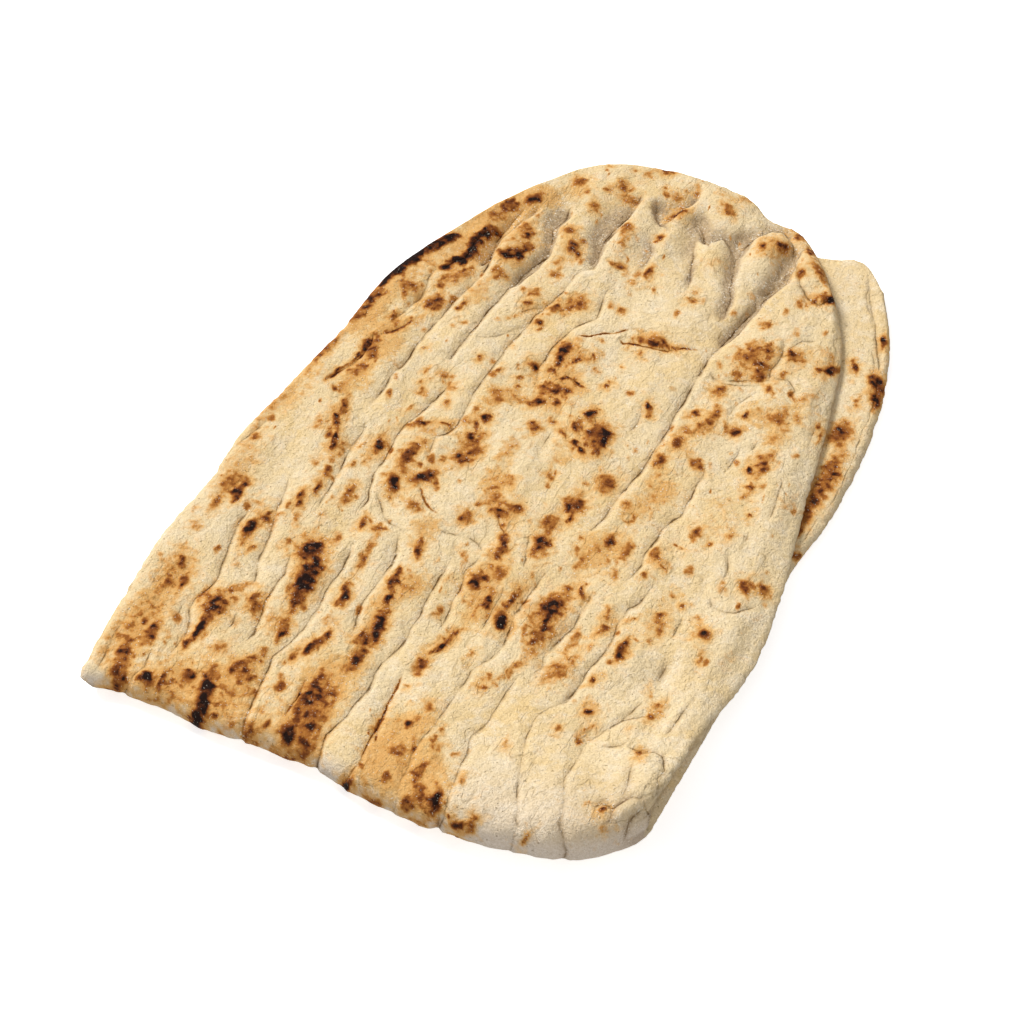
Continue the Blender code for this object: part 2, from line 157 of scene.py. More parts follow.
creases = [
    # Left part
    ("crease", [(-118.5, -150), (-117.5, -165), (-115, -180), (-114, -186)]),
    ("groove", [(-98, -212), (-98, -190), (-99, -183), (-97, -178), (-98, -173), (-100, -165)]),
    ("furrow", [(-92, -170), (-91, -157), (-93, -150), (-96.5, -142), (-97, -136), (-95, -130), (-94, -124),
                (-96, -115), (-99, -104), (-100, -97), (-100.5, -90), (-100, -80)]),
    ("groove", [(-100, -138), (-99.5, -153)]),
    ("groove", [(-79.5, -153), (-77, -148), (-76.5, -142), (-78, -135)]),
    ("furrow", [(-79.5, -123), (-79.5, -118), (-81, -112), (-84, -105), (-85.5, -96), (-86, -90),
                (-88.5, -83), (-90, -75), (-91, -68), (-93.5, -58)]),
    ("furrow", [(-70, -153), (-67, -149), (-66.5, -143), (-67.5, -135), (-70, -128), (-71, -125),
                (-70, -117), (-70, -110), (-71.5, -103), (-73, -97)]),
    ("furrow", [(-73, -72), (-74.5, -66), (-74.5, -60), (-75, -52), (-76, -45), (-77.5, -38), (-78, -30),
                (-78.5, -20), (-79, -10)]),
    ("deep", [(-82, -8), (-81, 0), (-80.5, 8), (-81, 15), (-80, 22), (-79.5, 28), (-80, 40), (-79, 50),
              (-77.5, 60), (-77.5, 70), (-76, 77), (-73.5, 85), (-72, 93), (-73, 100), (-74.5, 105),
              (-76, 115), (-77, 125), (-75, 140), (-73, 150)]),
    ("crack", [(-106, 0), (-103.5, 7), (-100.7, 13), (-98.6, 21), (-98, 31), (-99.7, 38)]),
    ("crack", [(-98, 35), (-95, 40), (-91, 46), (-88, 52)]),
    ("groove", [(-95, 55), (-93, 60), (-92, 70), (-93, 80)]),
    ("crease", [(-123.5, -55), (-121.5, -45), (-119.5, -38), (-118, -30)]),
    # Left of the middle
    ("furrow", [(-40, -220), (-44.5, -196), (-48, -187), (-50, -180), (-51.5, -165), (-53.5, -150),
                (-51, -142.5), (-49, -132), (-49, -120), (-50, -105), (-50, -97), (-51, -88), (-53, -80)]),
    ("furrow", [(-57.5, -66), (-57.5, -56), (-60, -50), (-62, -43), (-61.5, -35), (-62, -25), (-62.5, -15),
                (-62, -8), (-60, -2), (-58.5, 10), (-56, 17), (-55, 25)]),
    ("deep", [(-61.5, 30), (-62, 40), (-61, 50), (-60, 65), (-59, 78), (-58, 88), (-57.5, 97), (-56, 105),
              (-53, 113), (-51, 120), (-53, 128), (-56, 135), (-57, 138), (-55, 147), (-54, 157)]),
    ("crease", [(-55, -52), (-51, -57), (-47, -62), (-42, -66), (-36, -68), (-32, -69)]),
    ("thinCrack", [(-42, -40), (-38, -45), (-34, -49), (-30, -52), (-25, -54)]),
    ("furrow", [(-30, -130), (-31, -122), (-33, -112), (-33, -80), (-36, -73), (-38, -68)]),
    ("furrow", [(-45, -28), (-46, -20), (-47, -12), (-44, -8), (-42, 0), (-42.5, 10), (-43, 20), (-43, 45),
                (-42.5, 55), (-41, 65), (-39.5, 75), (-38, 85), (-36, 92), (-34.5, 100), (-34, 110),
                (-28, 117), (-28, 122), (-30, 130), (-32, 141), (-30, 150), (-28, 160), (-27, 175)]),
    ("crease", [(-58, 53), (-53, 55), (-48, 59), (-44, 65), (-39.5, 72)]),
    ("crease", [(-47, 75), (-42, 81), (-37, 86)]),
    ("crack", [(-37, -155), (-35, -165), (-35, -178)]),
    # Middle
    ("furrow", [(-7, -220), (-12, -195), (-14.5, -188), (-16, -178), (-13, -168.5), (-12.5, -159),
                (-11.5, -149), (-13, -135.5), (-9.5, -127), (-9.5, -114), (-10, -100), (-11, -90),
                (-10.5, -80), (-11, -70)]),
    ("blackFurrow", [(5, -220), (2, -199), (1.4, -185), (0.4, -173.5), (1, -167), (-1, -155.5),
                     (-1.4, -145), (-2.8, -136.5)]),
    ("groove", [(-2.8, -136.5), (0.6, -135.8), (3.8, -129.5)]),
    ("black", [(1.6, -168.5), (3.8, -176)]),
    ("furrow", [(1, -113), (0, -98), (-1, -88), (-2, -78), (0, -68), (0, -65)]),
    ("crease", [(-22, -62), (-15, -61), (-8, -60), (-3, -62), (0, -65)]),
    ("groove", [(-2.5, 15), (-2.5, 5), (-3, -2), (-1, -7), (1, -10)]),
    ("thinCrack", [(-5, -42), (0, -48), (5, -53)]),
    ("crease", [(13, -48), (15, -55), (18, -62), (19, -68)]),
    ("furrow", [(-21.5, 33), (-22.5, 40), (-24, 48), (-24.5, 55), (-23.5, 62), (-22, 70), (-20, 77),
                (-17, 82), (-13.5, 86), (-14, 90), (-15.5, 98), (-16, 105), (-15, 115)]),
    ("crack", [(-18, 71), (-12, 74), (-7, 78), (-2, 82), (4, 86)]),
    ("crack", [(0, 79), (3, 77), (10, 78), (18, 78), (24, 79), (30, 84), (37, 86)]),
    ("crack", [(-13, 48), (-8, 46), (-4, 43), (0, 40)]),
    ("groove", [(26, 22), (28, 25), (29, 32), (28, 37), (25, 45)]),
    ("crease", [(33, 103), (32, 113)]),
    ("groove", [(29, -222), (23, -198), (20.4, -187.5), (19, -174.5), (20.5, -160), (21.5, -144),
                (22, -126), (26.6, -117.5), (27, -108)]),
    ("groove", [(47, -222), (43, -203), (35, -184)]),
    ("crease", [(16, -80), (16.5, -100), (17, -106)]),
    ("furrow", [(26, -120), (27, -115), (28, -108), (27, -100), (26, -90), (26, -80), (27, -70), (28, -62)]),
    # Right part
    ("groove", [(46, -218), (40, -180.5), (38.5, -170), (37, -162), (36, -155), (39.5, -144), (40, -130),
                (40, -120)]),
    ("furrow", [(44, -120), (47, -112), (45, -105), (47, -97), (50, -88), (50, -75), (50, -65)]),
    ("deep", [(33, -38), (36, -35), (37.5, -28), (37.5, -20), (39, -8), (40, 0), (41.5, 10), (42, 20),
              (42, 60), (41.5, 75), (42, 82), (44, 90), (44, 100), (45, 108), (47, 115), (49, 123),
              (47, 130)]),
    ("deep", [(50, 135), (51, 140), (53, 147), (53, 155), (51, 165)]),
    ("groove", [(78, -222), (68, -183.5), (64, -176), (61, -168), (57.5, -154), (56, -146), (55.5, -138),
                (58, -132), (63, -126), (63.5, -118)]),
    ("furrow", [(61, -130), (63, -122), (64, -115), (65, -105), (67, -97), (67, -90), (65.5, -80),
                (66, -70), (69, -65), (71, -60), (71, -50)]),
    ("furrow", [(58, -63), (60, -55), (62, -45), (61, -38), (62, -30), (62, -22), (64, -15), (67, -12),
                (66, -5), (66, 5), (67, 12), (66, 20)]),
    ("groove", [(65, 47), (64, 52), (64, 60), (66, 66), (70, 72)]),
    ("crease", [(45, 74), (50, 71), (56, 73), (62, 76), (68, 78), (75, 82), (80, 83), (84, 78), (83, 72)]),
    ("groove", [(102, -3), (101, 0), (101, 10), (99, 20), (97, 28)]),
    ("groove", [(101, 50), (100, 62)]),
    ("crease", [(80, 35), (80, 42)]),
    ("crease", [(75, 20), (75, 35)]),
    ("crease", [(96, -10), (98, -18)]),
    ("crease", [(93, -25), (96, -35), (96, -42)]),
    ("groove", [(98, -222), (91.5, -194), (84, -181), (81, -168.5), (78, -160), (78.4, -149.5),
                (78, -144), (78.6, -138.6)]),
    ("wrinkle", [(76, -142), (78.6, -138.6), (81.6, -132.4), (87, -125), (93, -120), (96.5, -119)]),
    ("crease", [(87, -125), (88.7, -118), (91, -112)]),
    ("crease", [(74, -139), (78, -133)]),
    ("crease", [(74.4, -144), (77.2, -139.8)]),
    ("crease", [(83.6, -140.6), (91, -137), (94, -133.5)]),
    ("crease", [(92.6, -136.6), (97.5, -137.4), (99.3, -137.2), (103.4, -133.6)]),
    ("wrinkle", [(98, -140), (100, -137), (104, -134.6), (107.7, -135.3), (111.3, -141), (111, -145.7),
                 (112.6, -150), (114, -156)]),
    ("groove", [(99.6, -141), (99.3, -148.5), (101, -157), (102, -164)]),
    ("wrinkle", [(92, -171), (93.6, -168.7), (95.4, -165.5), (99.7, -167), (102, -164), (104, -160.4),
                 (109, -159.4), (113.5, -163.3), (116, -167), (117, -173)]),
    ("wrinkle", [(100, -165), (101.4, -173.3), (99.5, -177)]),
    ("wrinkle", [(111.5, -162), (109, -167.6), (108.7, -173.5), (110, -181)]),
    ("crease", [(93, -50), (97, -55), (103, -56), (108, -53), (115, -47)]),
    ("groove", [(109, -98), (108.4, -104.5), (107.3, -111), (106, -121.6), (104, -127)]),
    ("groove", [(92, -88), (92, -95), (91, -103)]),
    ("crease", [(88, -65), (88, -78)]),
    # Arched end: the edges of the pockets that fingers pressed, and of the blisters between them
    ("pocket", [(-30, 116), (-29.3, 127.5), (-31.7, 140), (-28.6, 151), (-27.6, 163.5), (-27.5, 178)]),
    ("pocket", [(-20, 176), (-16, 165), (-11, 160), (-9, 167), (-8, 172), (-4, 181), (-2, 192)]),
    ("pocket", [(0, 172), (6, 166.6), (12.6, 156), (18, 162), (25, 158.5), (28.5, 152)]),
    ("furrow", [(15, 119), (17, 123), (12.8, 135), (10, 145), (8, 152), (6, 160)]),
    ("pocket", [(37, 106), (38, 114), (37, 123), (33, 135), (31, 144), (28, 153), (29, 160), (31, 168),
                (37, 175.5), (44, 177), (50, 170)]),
    ("wrinkle", [(44, 177), (50, 170), (54, 158), (53.5, 146), (51, 138), (48.5, 132)]),
    ("pocket", [(44, 92), (46.8, 104), (50, 118), (51, 132), (55, 146), (54, 160), (51, 172)]),
    ("pocket", [(-77, 96), (-75, 108), (-76, 118), (-74, 129), (-70, 141), (-68, 150)]),
    ("pocket", [(-57, 90), (-55.5, 100), (-52, 109), (-51, 118), (-53, 128), (-55, 140), (-53, 152)]),
    ("groove", [(-10, 124), (-7, 131), (-8.6, 139), (-13, 150)]),
    ("wrinkle", [(80, 143), (75, 135.5), (68, 139), (61, 147), (55.5, 158), (54.8, 167), (58, 171)]),
    ("crease", [(46, 73), (54, 70), (66, 74), (72, 78)]),
    ("wrinkle", [(67, 107.7), (70.3, 105), (71.8, 97), (69.7, 87), (71.5, 79)]),
    ("crease", [(72, 99), (76, 109), (83, 113)]),
    ("groove", [(-97, 44), (-93, 58), (-92, 69), (-94, 81), (-92, 90)]),
    ("black", [(-92, 86), (-89.8, 90.4), (-87.8, 96.8), (-84.5, 100.1), (-85.1, 105.4), (-84.7, 111.1),
               (-83.1, 118.4), (-80, 123)]),
    ("black", [(-71, 108), (-67, 108), (-63.5, 110), (-61.5, 114), (-60.5, 121)]),
]

lowerCreases = [
    ("wrinkle", [(89, 163), (95.4, 148.4), (106, 124), (115, 103)]),
    ("groove", [(115, 103), (119.5, 80), (120.5, 60), (122.5, 40), (122, 20), (120, 2), (118, -10)]),
    ("crease", [(91, 160), (93, 150), (96, 143), (99, 138)]),
    ("crease", [(113, 100), (110, 110), (106, 118)]),
]

# Finger dimples and puffed blisters: x, y, half width, half length and rise in the middle
dimples = [
    (-60, 147, 6, 18, -2.4), (-36, 150, 5, 18, -2.4), (-14, 170, 5, 9, -2.6), (-12, 140, 6, 15, -2.0),
    (3, 166, 4.5, 12, -2.8), (6, 148, 4, 10, -1.6), (27, 164, 4.5, 8, -2.6), (30, 145, 4, 12, -1.8),
    (50, 155, 3.5, 14, -2.2), (91, -95, 5, 10, -1.4), (41, 157, 7, 16, 2.2), (20, 146, 8, 13, 1.8),
    (-22, 145, 6, 17, 1.4), (-67, 118, 7, 18, 1.6), (-45, 128, 6, 20, 1.2), (-4, 150, 5, 14, 1.0),
    (15, 183, 12, 8, 1.4), (64, 158, 9, 12, 2.0), (60, 92, 11, 13, 1.4), (14, 16, 12, 12, 1.0),
    (107, -160, 8, 9, 1.6), (105, -170, 3.5, 6, 1.2), (112, -170, 3, 7, 1.0), (104, -142, 6, 6, 1.2),
]

# Greyish flour with painted shade at the pits and the darker corner: x, y, half width, half length and share
dustAndShadePatches = [
    (100, -172, 26, 24, .6), (18, 168, 13, 7, .35), (-14, 163, 8, 8, .35), (-30, 148, 8, 24, .3),
    (10, 136, 5, 14, .3), (-8, 138, 5, 14, .3), (35, 136, 6, 20, .3), (50, 140, 5, 18, .3),
    (-14.7, 165, 3, 4, .9), (10.6, 159.5, 3.5, 4, 1.0), (14, 134, 2, 8, .8), (-7.8, 133, 2.2, 7, .8),
    (53.4, 157.5, 2.2, 7, .6), (46.7, 132, 3, 9, .4), (70, -208, 9, 6, .45), (56, -204, 5, 7, .4),
]

# Golden patches: x, y, half width, half length and share
goldenPatches = [
    (-111, -130, 7, 12, .45), (-112, -141, 8, 12, .5), (-112, -155, 9, 16, .6), (-109, -167, 8, 12, .6),
    (-106, -180, 6, 10, .6), (-84, -179, 13, 14, .9), (-61, -168, 10, 10, .8), (-60, -155, 5, 9, .6),
    (-60, -184, 9, 12, .8), (-40, -180, 4, 7, .5), (-31, -154, 10, 12, .9), (-24, -170, 9, 16, .8),
    (-41, -189, 5, 8, .6), (10, -163, 9, 10, .7), (17, -158, 6, 8, .5), (14, -177, 14, 14, .8),
    (28, -178, 9, 11, .6), (16, -191, 9, 9, .8), (31, -191, 9, 12, .8), (5, -182, 6, 10, .6),
    (42, -177, 5, 7, .35), (51, -196, 7, 6, .45), (-21, -142, 7, 10, .8), (6, -117, 4, 8, .5),
    (29, -130, 7, 7, .5), (19, -119, 5, 7, .4), (-33, 22, 9, 10, .8), (-11, 36, 10, 9, .8),
    (-15, -10, 6, 10, .7), (-10, -27, 8, 9, .85), (-28, -62, 7, 8, .8), (8, -2, 8, 7, .6),
    (42, -46, 12, 14, .9), (-19, -95, 9, 12, .8), (9, -71, 5, 9, .7), (21, -75, 4, 7, .5),
    (46, -19, 6, 8, .6), (9, -100, 8, 10, .7), (-70, 156, 11, 8, 1.1), (-78, 145, 9, 9, 1.1),
    (-84, 134, 8, 10, 1), (-90, 120, 8, 12, .9), (-110, 56, 7, 10, 1), (-110, 42, 8, 12, 1),
    (-98, 70, 8, 10, .7), (-85, 64, 8, 8, .7), (-94, 46, 8, 8, .8), (-92, 32, 8, 10, .8),
    (-93, 15, 8, 12, .7), (-95, 1, 8, 10, .6), (-81, 92, 7, 7, .6), (-66, 96, 5, 6, .6),
    (-67, 126, 9, 10, .7), (-69, 78, 7, 8, .6), (-42, 85, 8, 8, .6), (-57, 167, 7, 7, .6),
    (-45, 158, 5, 7, .6), (-40, 178, 7, 5, .6), (-9, 184, 5, 6, .5), (12, 189, 9, 6, .5),
    (-45, 128, 6, 10, .7), (41, 163, 8, 9, .7), (24, 143, 4, 5, .5), (-28, 92, 7, 8, .6),
    (17, 84, 10, 4, .5), (60, 90, 11, 13, .6), (82, 102, 8, 8, .6), (66, 154, 6, 8, .4),
    (53, 66, 5, 5, .5), (74, 75, 5, 5, .5), (-14, 59, 9, 9, .6), (56, 46, 7, 9, .6),
    (74, 58, 8, 8, .7), (89, 66, 8, 10, .6), (86, 47, 7, 8, .7), (86, 29, 5, 8, .6),
    (54, -3, 9, 12, .8), (82, -1, 13, 7, .5), (81, -15, 9, 6, .5), (49, 12, 4, 6, .5),
    (62, 17, 4, 6, .4), (105, -41, 6, 5, .4), (80, -68, 9, 10, .6), (81, -56, 6, 6, .5),
    (98, -69, 5, 5, .5), (-117, -15, 8, 20, .6), (-116, 12, 6, 16, .6), (-113, -70, 8, 20, .5),
]

# Toasted and charred spots: x, y, half width, half length, lean and burn from 0 (pale) to 1 (black)
charMarks = {
    "round the fold": [
        (-112, -158, 8, 24, 0, .42), (-109.5, -174, 4, 9, -.2, .6), (-103, -187, 4, 8, -.3, .62),
        (-101, -198, 4, 8, -.3, .6), (-85, -190, 9, 10, 0, .38), (-93, -184, 3.4, 5, -.3, .6),
        (-89, -199, 2, 8, 0, .5), (-82, -201, 2, 7, 0, .5), (-76, -203, 2, 6, -.3, .5),
        (-79, -174, 4, 4, 0, .62), (-85.6, -183, 6, 5, 0, .44),
        (-69.4, -178, 3.8, 6.5, -.2, 1), (-67, -187, 4, 7.5, -.25, 1.02), (-64.2, -197, 3.4, 8, -.2, 1),
        (-59, -173, 9, 13, 0, .47), (-63, -161, 2, 6, .6, .62),
        (-58, -184, 7, 9, 0, .4), (-53, -199, 3, 5, 0, .5), (-43, -192, 3, 8, -.2, .5),
        (-38, -197, 2, 6, 0, .5), (-30, -186, 3.2, 6.5, -.2, 1), (-26, -176, 9, 16, -.1, .5),
        (-29, -200, 7, 8, 0, .56), (-20, -190, 5, 12, 0, .5), (-16, -202, 4, 5, 0, .4),
        (-10, -203, 3, 2, 0, .5), (3, -201, 1.7, 8, 0, .9), (12, -182, 12, 18, 0, .28),
        (31, -186, 9, 16, 0, .27), (10, -199, 5, 7, 0, .34), (16, -203, 4, 3, 0, .6),
        (13, -175, 5, 4, 0, .5), (28, -197, 4, 5, 0, .66), (36.6, -192, 3.2, 8, -.2, .82),
        (34, -205, 5, 3, 0, .5), (49, -198, 3.4, 3, 0, .72), (54, -196, 2.6, 6, -.2, .6),
        (52, -205, 2, 2, 0, .6), (76, -195, 1.2, 3, 0, .5), (96.7, -169.6, 2, 2.4, 0, .6),
        (100.7, -178, 3.5, 2, 0, .4), (12, -161.8, 2.4, 2.6, 0, .8), (15.5, -151.4, 2.4, 2.4, 0, .5),
    ],
    "left by the fold": [
        (-117, -60, 7, 22, 0, .35), (-115, -72, 5, 8, 0, .5), (-109, -75, 2.3, 7, 0, .85),
        (-115, -87, 3, 5, 0, .5), (-116, -101, 2, 4, 0, .4), (-113, -125, 9, 14, 0, .45),
        (-111, -120, 2, 4, -.4, .75), (-106, -129, 2.5, 4, 0, .8), (-111, -133, 2.5, 4, 0, .7),
        (-111, -155, 9, 25, .2, .4), (-104, -161, 3, 7, 0, .75), (-107, -180, 5, 12, -.44, .5),
        (-103, -188, 3, 4, 0, .6), (-97, -158, 1.5, 2, 0, .35), (-94, -133, 2.5, 4.5, 0, .55),
        (-87, -137, 5.5, 8, 0, .65), (-85, -138, 2, 2, 0, .9), (-87, -150, 2.8, 8, 0, .85),
        (-88, -160, 2, 4, 0, .8), (-84, -125, 4, 6, .5, .5), (-75, -127, 2.2, 4, 0, .75),
        (-72, -130, 2.5, 4, 0, .6), (-75, -142, 1.5, 3, 0, .3), (-75, -157, 4, 4.5, .4, .5),
        (-61, -157, 2.2, 7, .5, .6), (-63, -162, 2, 4, .5, .8), (-57, -138, 2, 6, 0, .75),
        (-60, -135, 6, 8, 0, .4), (-66, -180, 12, 13, -.3, .4), (-71, -170, 3, 5, 0, .7),
        (-60, -165, 4, 4, 0, .6),
        (-56, -164, 2.5, 3, 0, .6), (-84, -181, 11, 13, -.2, .47), (-79, -173, 3, 3, 0, .7),
        (-93, -184, 2.5, 5, -.2, .65), (-88, -180, .8, 5, 0, .75), (-46, -190, 2, 6, -.4, .5),
        (-43.6, -165, 2.6, 3, 0, .58), (-39.5, -184, 2, 5, 0, .5), (-18, -190, 2, 5, 0, .7),
        (-23, -143, 3, 6, 0, .5), (-45, -179, 1.5, 3, 0, .3), (-40, -138, 2.5, 8, .2, .85),
        (-45, -147, 2, 3.5, .3, .65), (-28, -165, 7, 17, 0, .53), (-32, -158, 4, 9, 0, .52),
        (-32.6, -165, 1.8, 6, .15, .9), (-25, -160, 5, 1.5, 0, .75),
        (-24, -180, 4, 12, 0, .52), (-21, -165, 1.5, 4, 0, .5), (-22, -122, 2.5, 8, -.15, .95),
        (-23, -118, 4, 8, 0, .6), (-25, -128, 4, 5, 0, .7), (-22, -137, 3, 8, -.2, .65),
    ],
    "left, a third up": [
        (-66, -94, 6, 6, 0, .9), (-60, -107, 5, 11, -.1, 1), (-58, -121, 3.5, 8, -.1, .85),
        (-67, -88, 8, 6, 0, .45), (-75, -95, 6, 5, 0, .35), (-42, -110, 2, 7, -.15, .9),
        (-44, -85, 2.5, 14, -.1, .4), (-43, -92, 2, 4, 0, .5), (-53, -70, 2, 4.5, 0, .75),
        (-46, -71, 2.5, 2, 0, .6), (-66, -60, 2.5, 5, 0, .6), (-66, -55, 1.5, 2, 0, .65),
        (-71, -74, 1.2, 1.5, 0, .4), (-42, -126, 3, 4, 0, .35), (-38, -53, 5, 4, 0, .5),
        (-92, -84, 2, 3.5, 0, .65), (-97, -78, 6, 4, -.5, .4), (-95, -92, 2.8, 5.5, 0, .95),
        (-94, -100, 1.5, 4, 0, .6), (-89, -102, 1.2, 2, 0, .6), (-92, -112, 3, 5, 0, .25),
        (-80, -50, 3, 5, 0, .6), (-79.5, -60, 1.5, 5, -.1, .7), (-84, -67, 1.8, 4, 0, .65),
        (-82.5, -71, 1.2, 3, 0, .7), (-86, -75, 1.3, 2.5, 0, .55), (-79, -80, 1.5, 5, 0, .4),
        (-88, -47, 2, 3, 0, .4),
    ],
    "left, halfway": [
        (-121, -20, 4, 20, 0, .3), (-113, -15, 5, 12, 0, .25), (-119, -43, 2.5, 5, 0, .45),
        (-90.6, -12, 1.8, 7, -.1, .75), (-90, -21, 2.5, 5, -.5, .8), (-86, -29, 2, 5, -.4, .8),
        (-84.5, -34, 1.3, 3.5, 0, .95), (-92, -20, 5, 12, -.4, .35), (-97, -26, 1.8, 4, 0, .45),
        (-80, -34, 1.5, 4, 0, .45), (-68, -27, 2.4, 6, -.05, .9), (-68, -27, 4, 8, 0, .4),
        (-68, -18, 1, 3, 0, .45), (-75, -28, 1.2, 4, 0, .4), (-67, -37, 1.5, 3, 0, .45),
        (-71.5, -41, 1.5, 2, 0, .45), (-52.8, -27, 3.3, 7, 0, .84), (-50, -18, 1.5, 3, 0, .6),
        (-54, -26, 4.5, 9, 0, .45), (-51, -45, 3.2, 6, -.3, .88),
        (-42, -36, 4.2, 4.5, .2, 1), (-38, -33, 2.5, 3, 0, .7), (-57, -7, 2, 4, 1.1, .75),
        (-47, -3, 3, 1.2, 0, .7), (-52, -8, 8, 6, 0, .35), (-65, 0, 1.2, 3, .1, .5),
        (-67.5, 17.5, 1.1, 2, 0, .65), (-66, 12, 1.3, 3, .3, .5), (-68.5, 26, 1, 2.5, .3, .5),
        (-60, 25, 2, 2.5, 0, .5), (-53, 20, 2.5, 2, 0, .5), (-52, 10, 2, 3, 0, .45),
        (-97, 30, 5, 7, 0, .55), (-99.5, 27, 1, 9, 0, .75), (-94, 24, 4, 4, 0, .58),
        (-96, 12, 3.5, 8, 0, .55), (-93, 14, 1.2, 4, 0, .7), (-97, 0, 3, 6, 0, .45),
        (-103, 10, 1, 10, .33, .7), (-115, 25, 3, 12, .1, .5), (-116, 15, 2, 8, 0, .55),
        (-117, 5, 2, 6, 0, .4),
    ],
    "left, two thirds up": [
        (-112, 50, 4, 12, .1, .62), (-110.5, 61, 4, 6, .15, .66), (-111.5, 71.5, 4, 6, .15, 1),
        (-109.6, 79, 5, 6, .2, 1.15), (-107.4, 87, 5, 6, .35, 1.15), (-105, 93.5, 4, 5, .4, 1),
        (-102, 100, 3.6, 5, .45, .95), (-98.8, 106.5, 3.4, 5, .5, .98), (-96.3, 111.5, 3.2, 4, .5, .95),
        (-98, 88, 5, 16, .3, .3), (-98.4, 71, 4.6, 6, 0, .58),
        (-96, 50, 2.5, 3, 0, .6), (-91, 46, .8, 8, .58, .85), (-95, 43, 5, 8, .4, .45),
        (-85, 66.5, 5, 7, 0, .62), (-87, 73, 2, 3, 0, .5), (-83, 85, 5, 5, .4, .5),
        (-79, 90, 4, 4, .4, .45), (-89.5, 91.5, 3.2, 4, .3, .86), (-87, 97.5, 3.8, 4, .5, 1),
        (-85, 103, 3.8, 5, 0, 1.05), (-84.8, 110, 3.8, 6, 0, 1), (-83.4, 117.5, 3.8, 5, .3, .96),
        (-81.5, 123, 4.5, 3.5, .3, .76), (-84, 108, 6, 20, .1, .42), (-87, 80, 2.5, 3, 0, .5),
        (-67.5, 109, 4.6, 2.6, 0, .95), (-63, 111.5, 3, 3.2, 0, .98), (-61, 118, 2.4, 4.5, 0, .8),
        (-67, 121, 6.5, 13, .05, .42), (-64.5, 126, 3.6, 4.6, 0, .6), (-68, 131, 3.6, 4, 0, .5),
        (-66, 96, 4, 4, 0, .5),
        (-69, 82, 5, 8, 0, .4), (-72, 70, 2, 5, 0, .55), (-66, 59, 2.5, 2.5, 0, .35),
        (-70, 56, 2, 2, 0, .3), (-46, 83, 3, 3, 0, .74), (-46, 92, 4, 3, 0, .5),
        (-43, 106, 3.5, 4, 0, .45), (-50, 41, 2.5, 2.2, 0, .48), (-50, 41, 1, 1, 0, .56),
        (-41, 55, 1.5, 1.5, 0, .45), (-40, 38, 1.8, 1.5, 0, .55), (-75, 36, 1, 1.2, 0, .45),
        (-47, 75, 1, 6, .6, .5), (-36, 74, 2.5, 2, 0, .75), (-34, 87, 2.5, 3, 0, .65),
        (-30, 89, 6, 7, 0, .4), (-26, 90, 5, 4, 0, .55), (-22, 90, 2, 3, 0, .6),
        (-25, 95, 4, 3, 0, .5),
    ],
    "arched end": [
        (46, 183, 4, 4, 0, .5), (52, 177.5, 3, 3.5, 0, .6), (60, 170, 3, 4, 0, .5), (-21, 196, 3, 2, 0, .6),
        (-80, 143, 4, 4, 0, .75), (-83, 134, 4, 6, .3, .5), (-72, 152, 4, 5, .2, .8),
        (-58, 172, 4, 4, 0, .75), (-52, 165, 2.5, 4, 0, .4), (-43, 172, 3, 3, 0, .4),
        (-38, 177, 3.5, 2.5, 0, .65), (-32, 171, 5, 4, 0, .5), (-44, 158, 2.5, 4, 0, .5),
        (-48, 136, 3.2, 3, 0, .75), (-42, 126, 3, 6, 0, .75), (-38, 122, 2, 3, 0, .6),
        (-44, 115, 2, 2.5, 0, .5), (-66, 142, 2, 3, 0, .3), (-49, 188, 1.5, .7, 0, .6),
        (-29, 190, 2.5, 3, 0, .4), (-37, 190, 3, 2, 0, .35), (-24, 197, 3, 1, 0, .75),
        (-12, 181, 3.4, 4, 0, .45), (-10, 187, 2, 2, 0, .35), (-19, 184, 1, 1.5, 0, .45),
        (-6.5, 170.5, 3.4, 2.4, .3, 1), (-7, 169, 5, 5, 0, .4), (-4, 188, 1.5, 4, 0, .5),
        (14, 180, 3.4, 3.6, -.3, .66), (18, 190, 4, 3, 0, .35), (6, 188, 2, 2, 0, .3),
        (-24, 148, 3.5, 4, 0, .55), (-22, 140, 3, 8, -.2, .4), (-17.5, 124, 4, 3, 0, .62),
        (-8, 149, 2, 3, 0, .6), (-3, 123.5, 3, 3.6, 0, .62), (-7.7, 114.7, 2.5, 2, 0, .4),
        (2, 114, 1.5, 2, 0, .45), (22, 142.5, 3.4, 3, .5, .36), (22, 114.4, 3.6, 1.8, .5, .55),
        (20, 121, 1.5, 2, 0, .45), (41.5, 161, 8, 9, -.1, .36), (45.4, 166, 3.2, 3.4, 0, .68),
        (37.6, 161, 2.8, 3.4, 0, .66), (50, 177, 2, 2, 0, .65), (60, 167, 3, 2, 0, .6),
        (69, 154, 4, 5, -.9, .52), (77.6, 141.4, 5.6, 3.6, 0, .82), (66, 160, 5, 8, -.7, .34),
        (60, 151.6, 2.5, 3, 0, .55), (68, 134, 4, 5, 0, .3), (72, 137, 1.5, 3, 0, .6),
        (58, 113, 3.5, 3, 0, .5), (72, 113, 2, 5, 0, .3), (90, 107, 4, 3, 0, .3),
    ],
    "upper right": [
        (60, 90, 9, 11, 0, .5), (57, 88, 2, 2, 0, .8), (66, 97, 2.5, 4, 0, .6), (66, 82, 3, 5, 0, .65),
        (62, 87, 5, 1, -.3, .6), (94.6, 97.6, 4.4, 4, .3, .8), (93, 97, 6, 6, 0, .42),
        (78, 98, 5, 5, 0, .5), (75, 97, 2, 3, 0, .65), (76.5, 85, 2, 2.2, 0, .5),
        (74, 74, 2.5, 3, 0, .6), (91, 76, 4, 6, 0, .3), (87, 73, 2, 1.5, 0, .45),
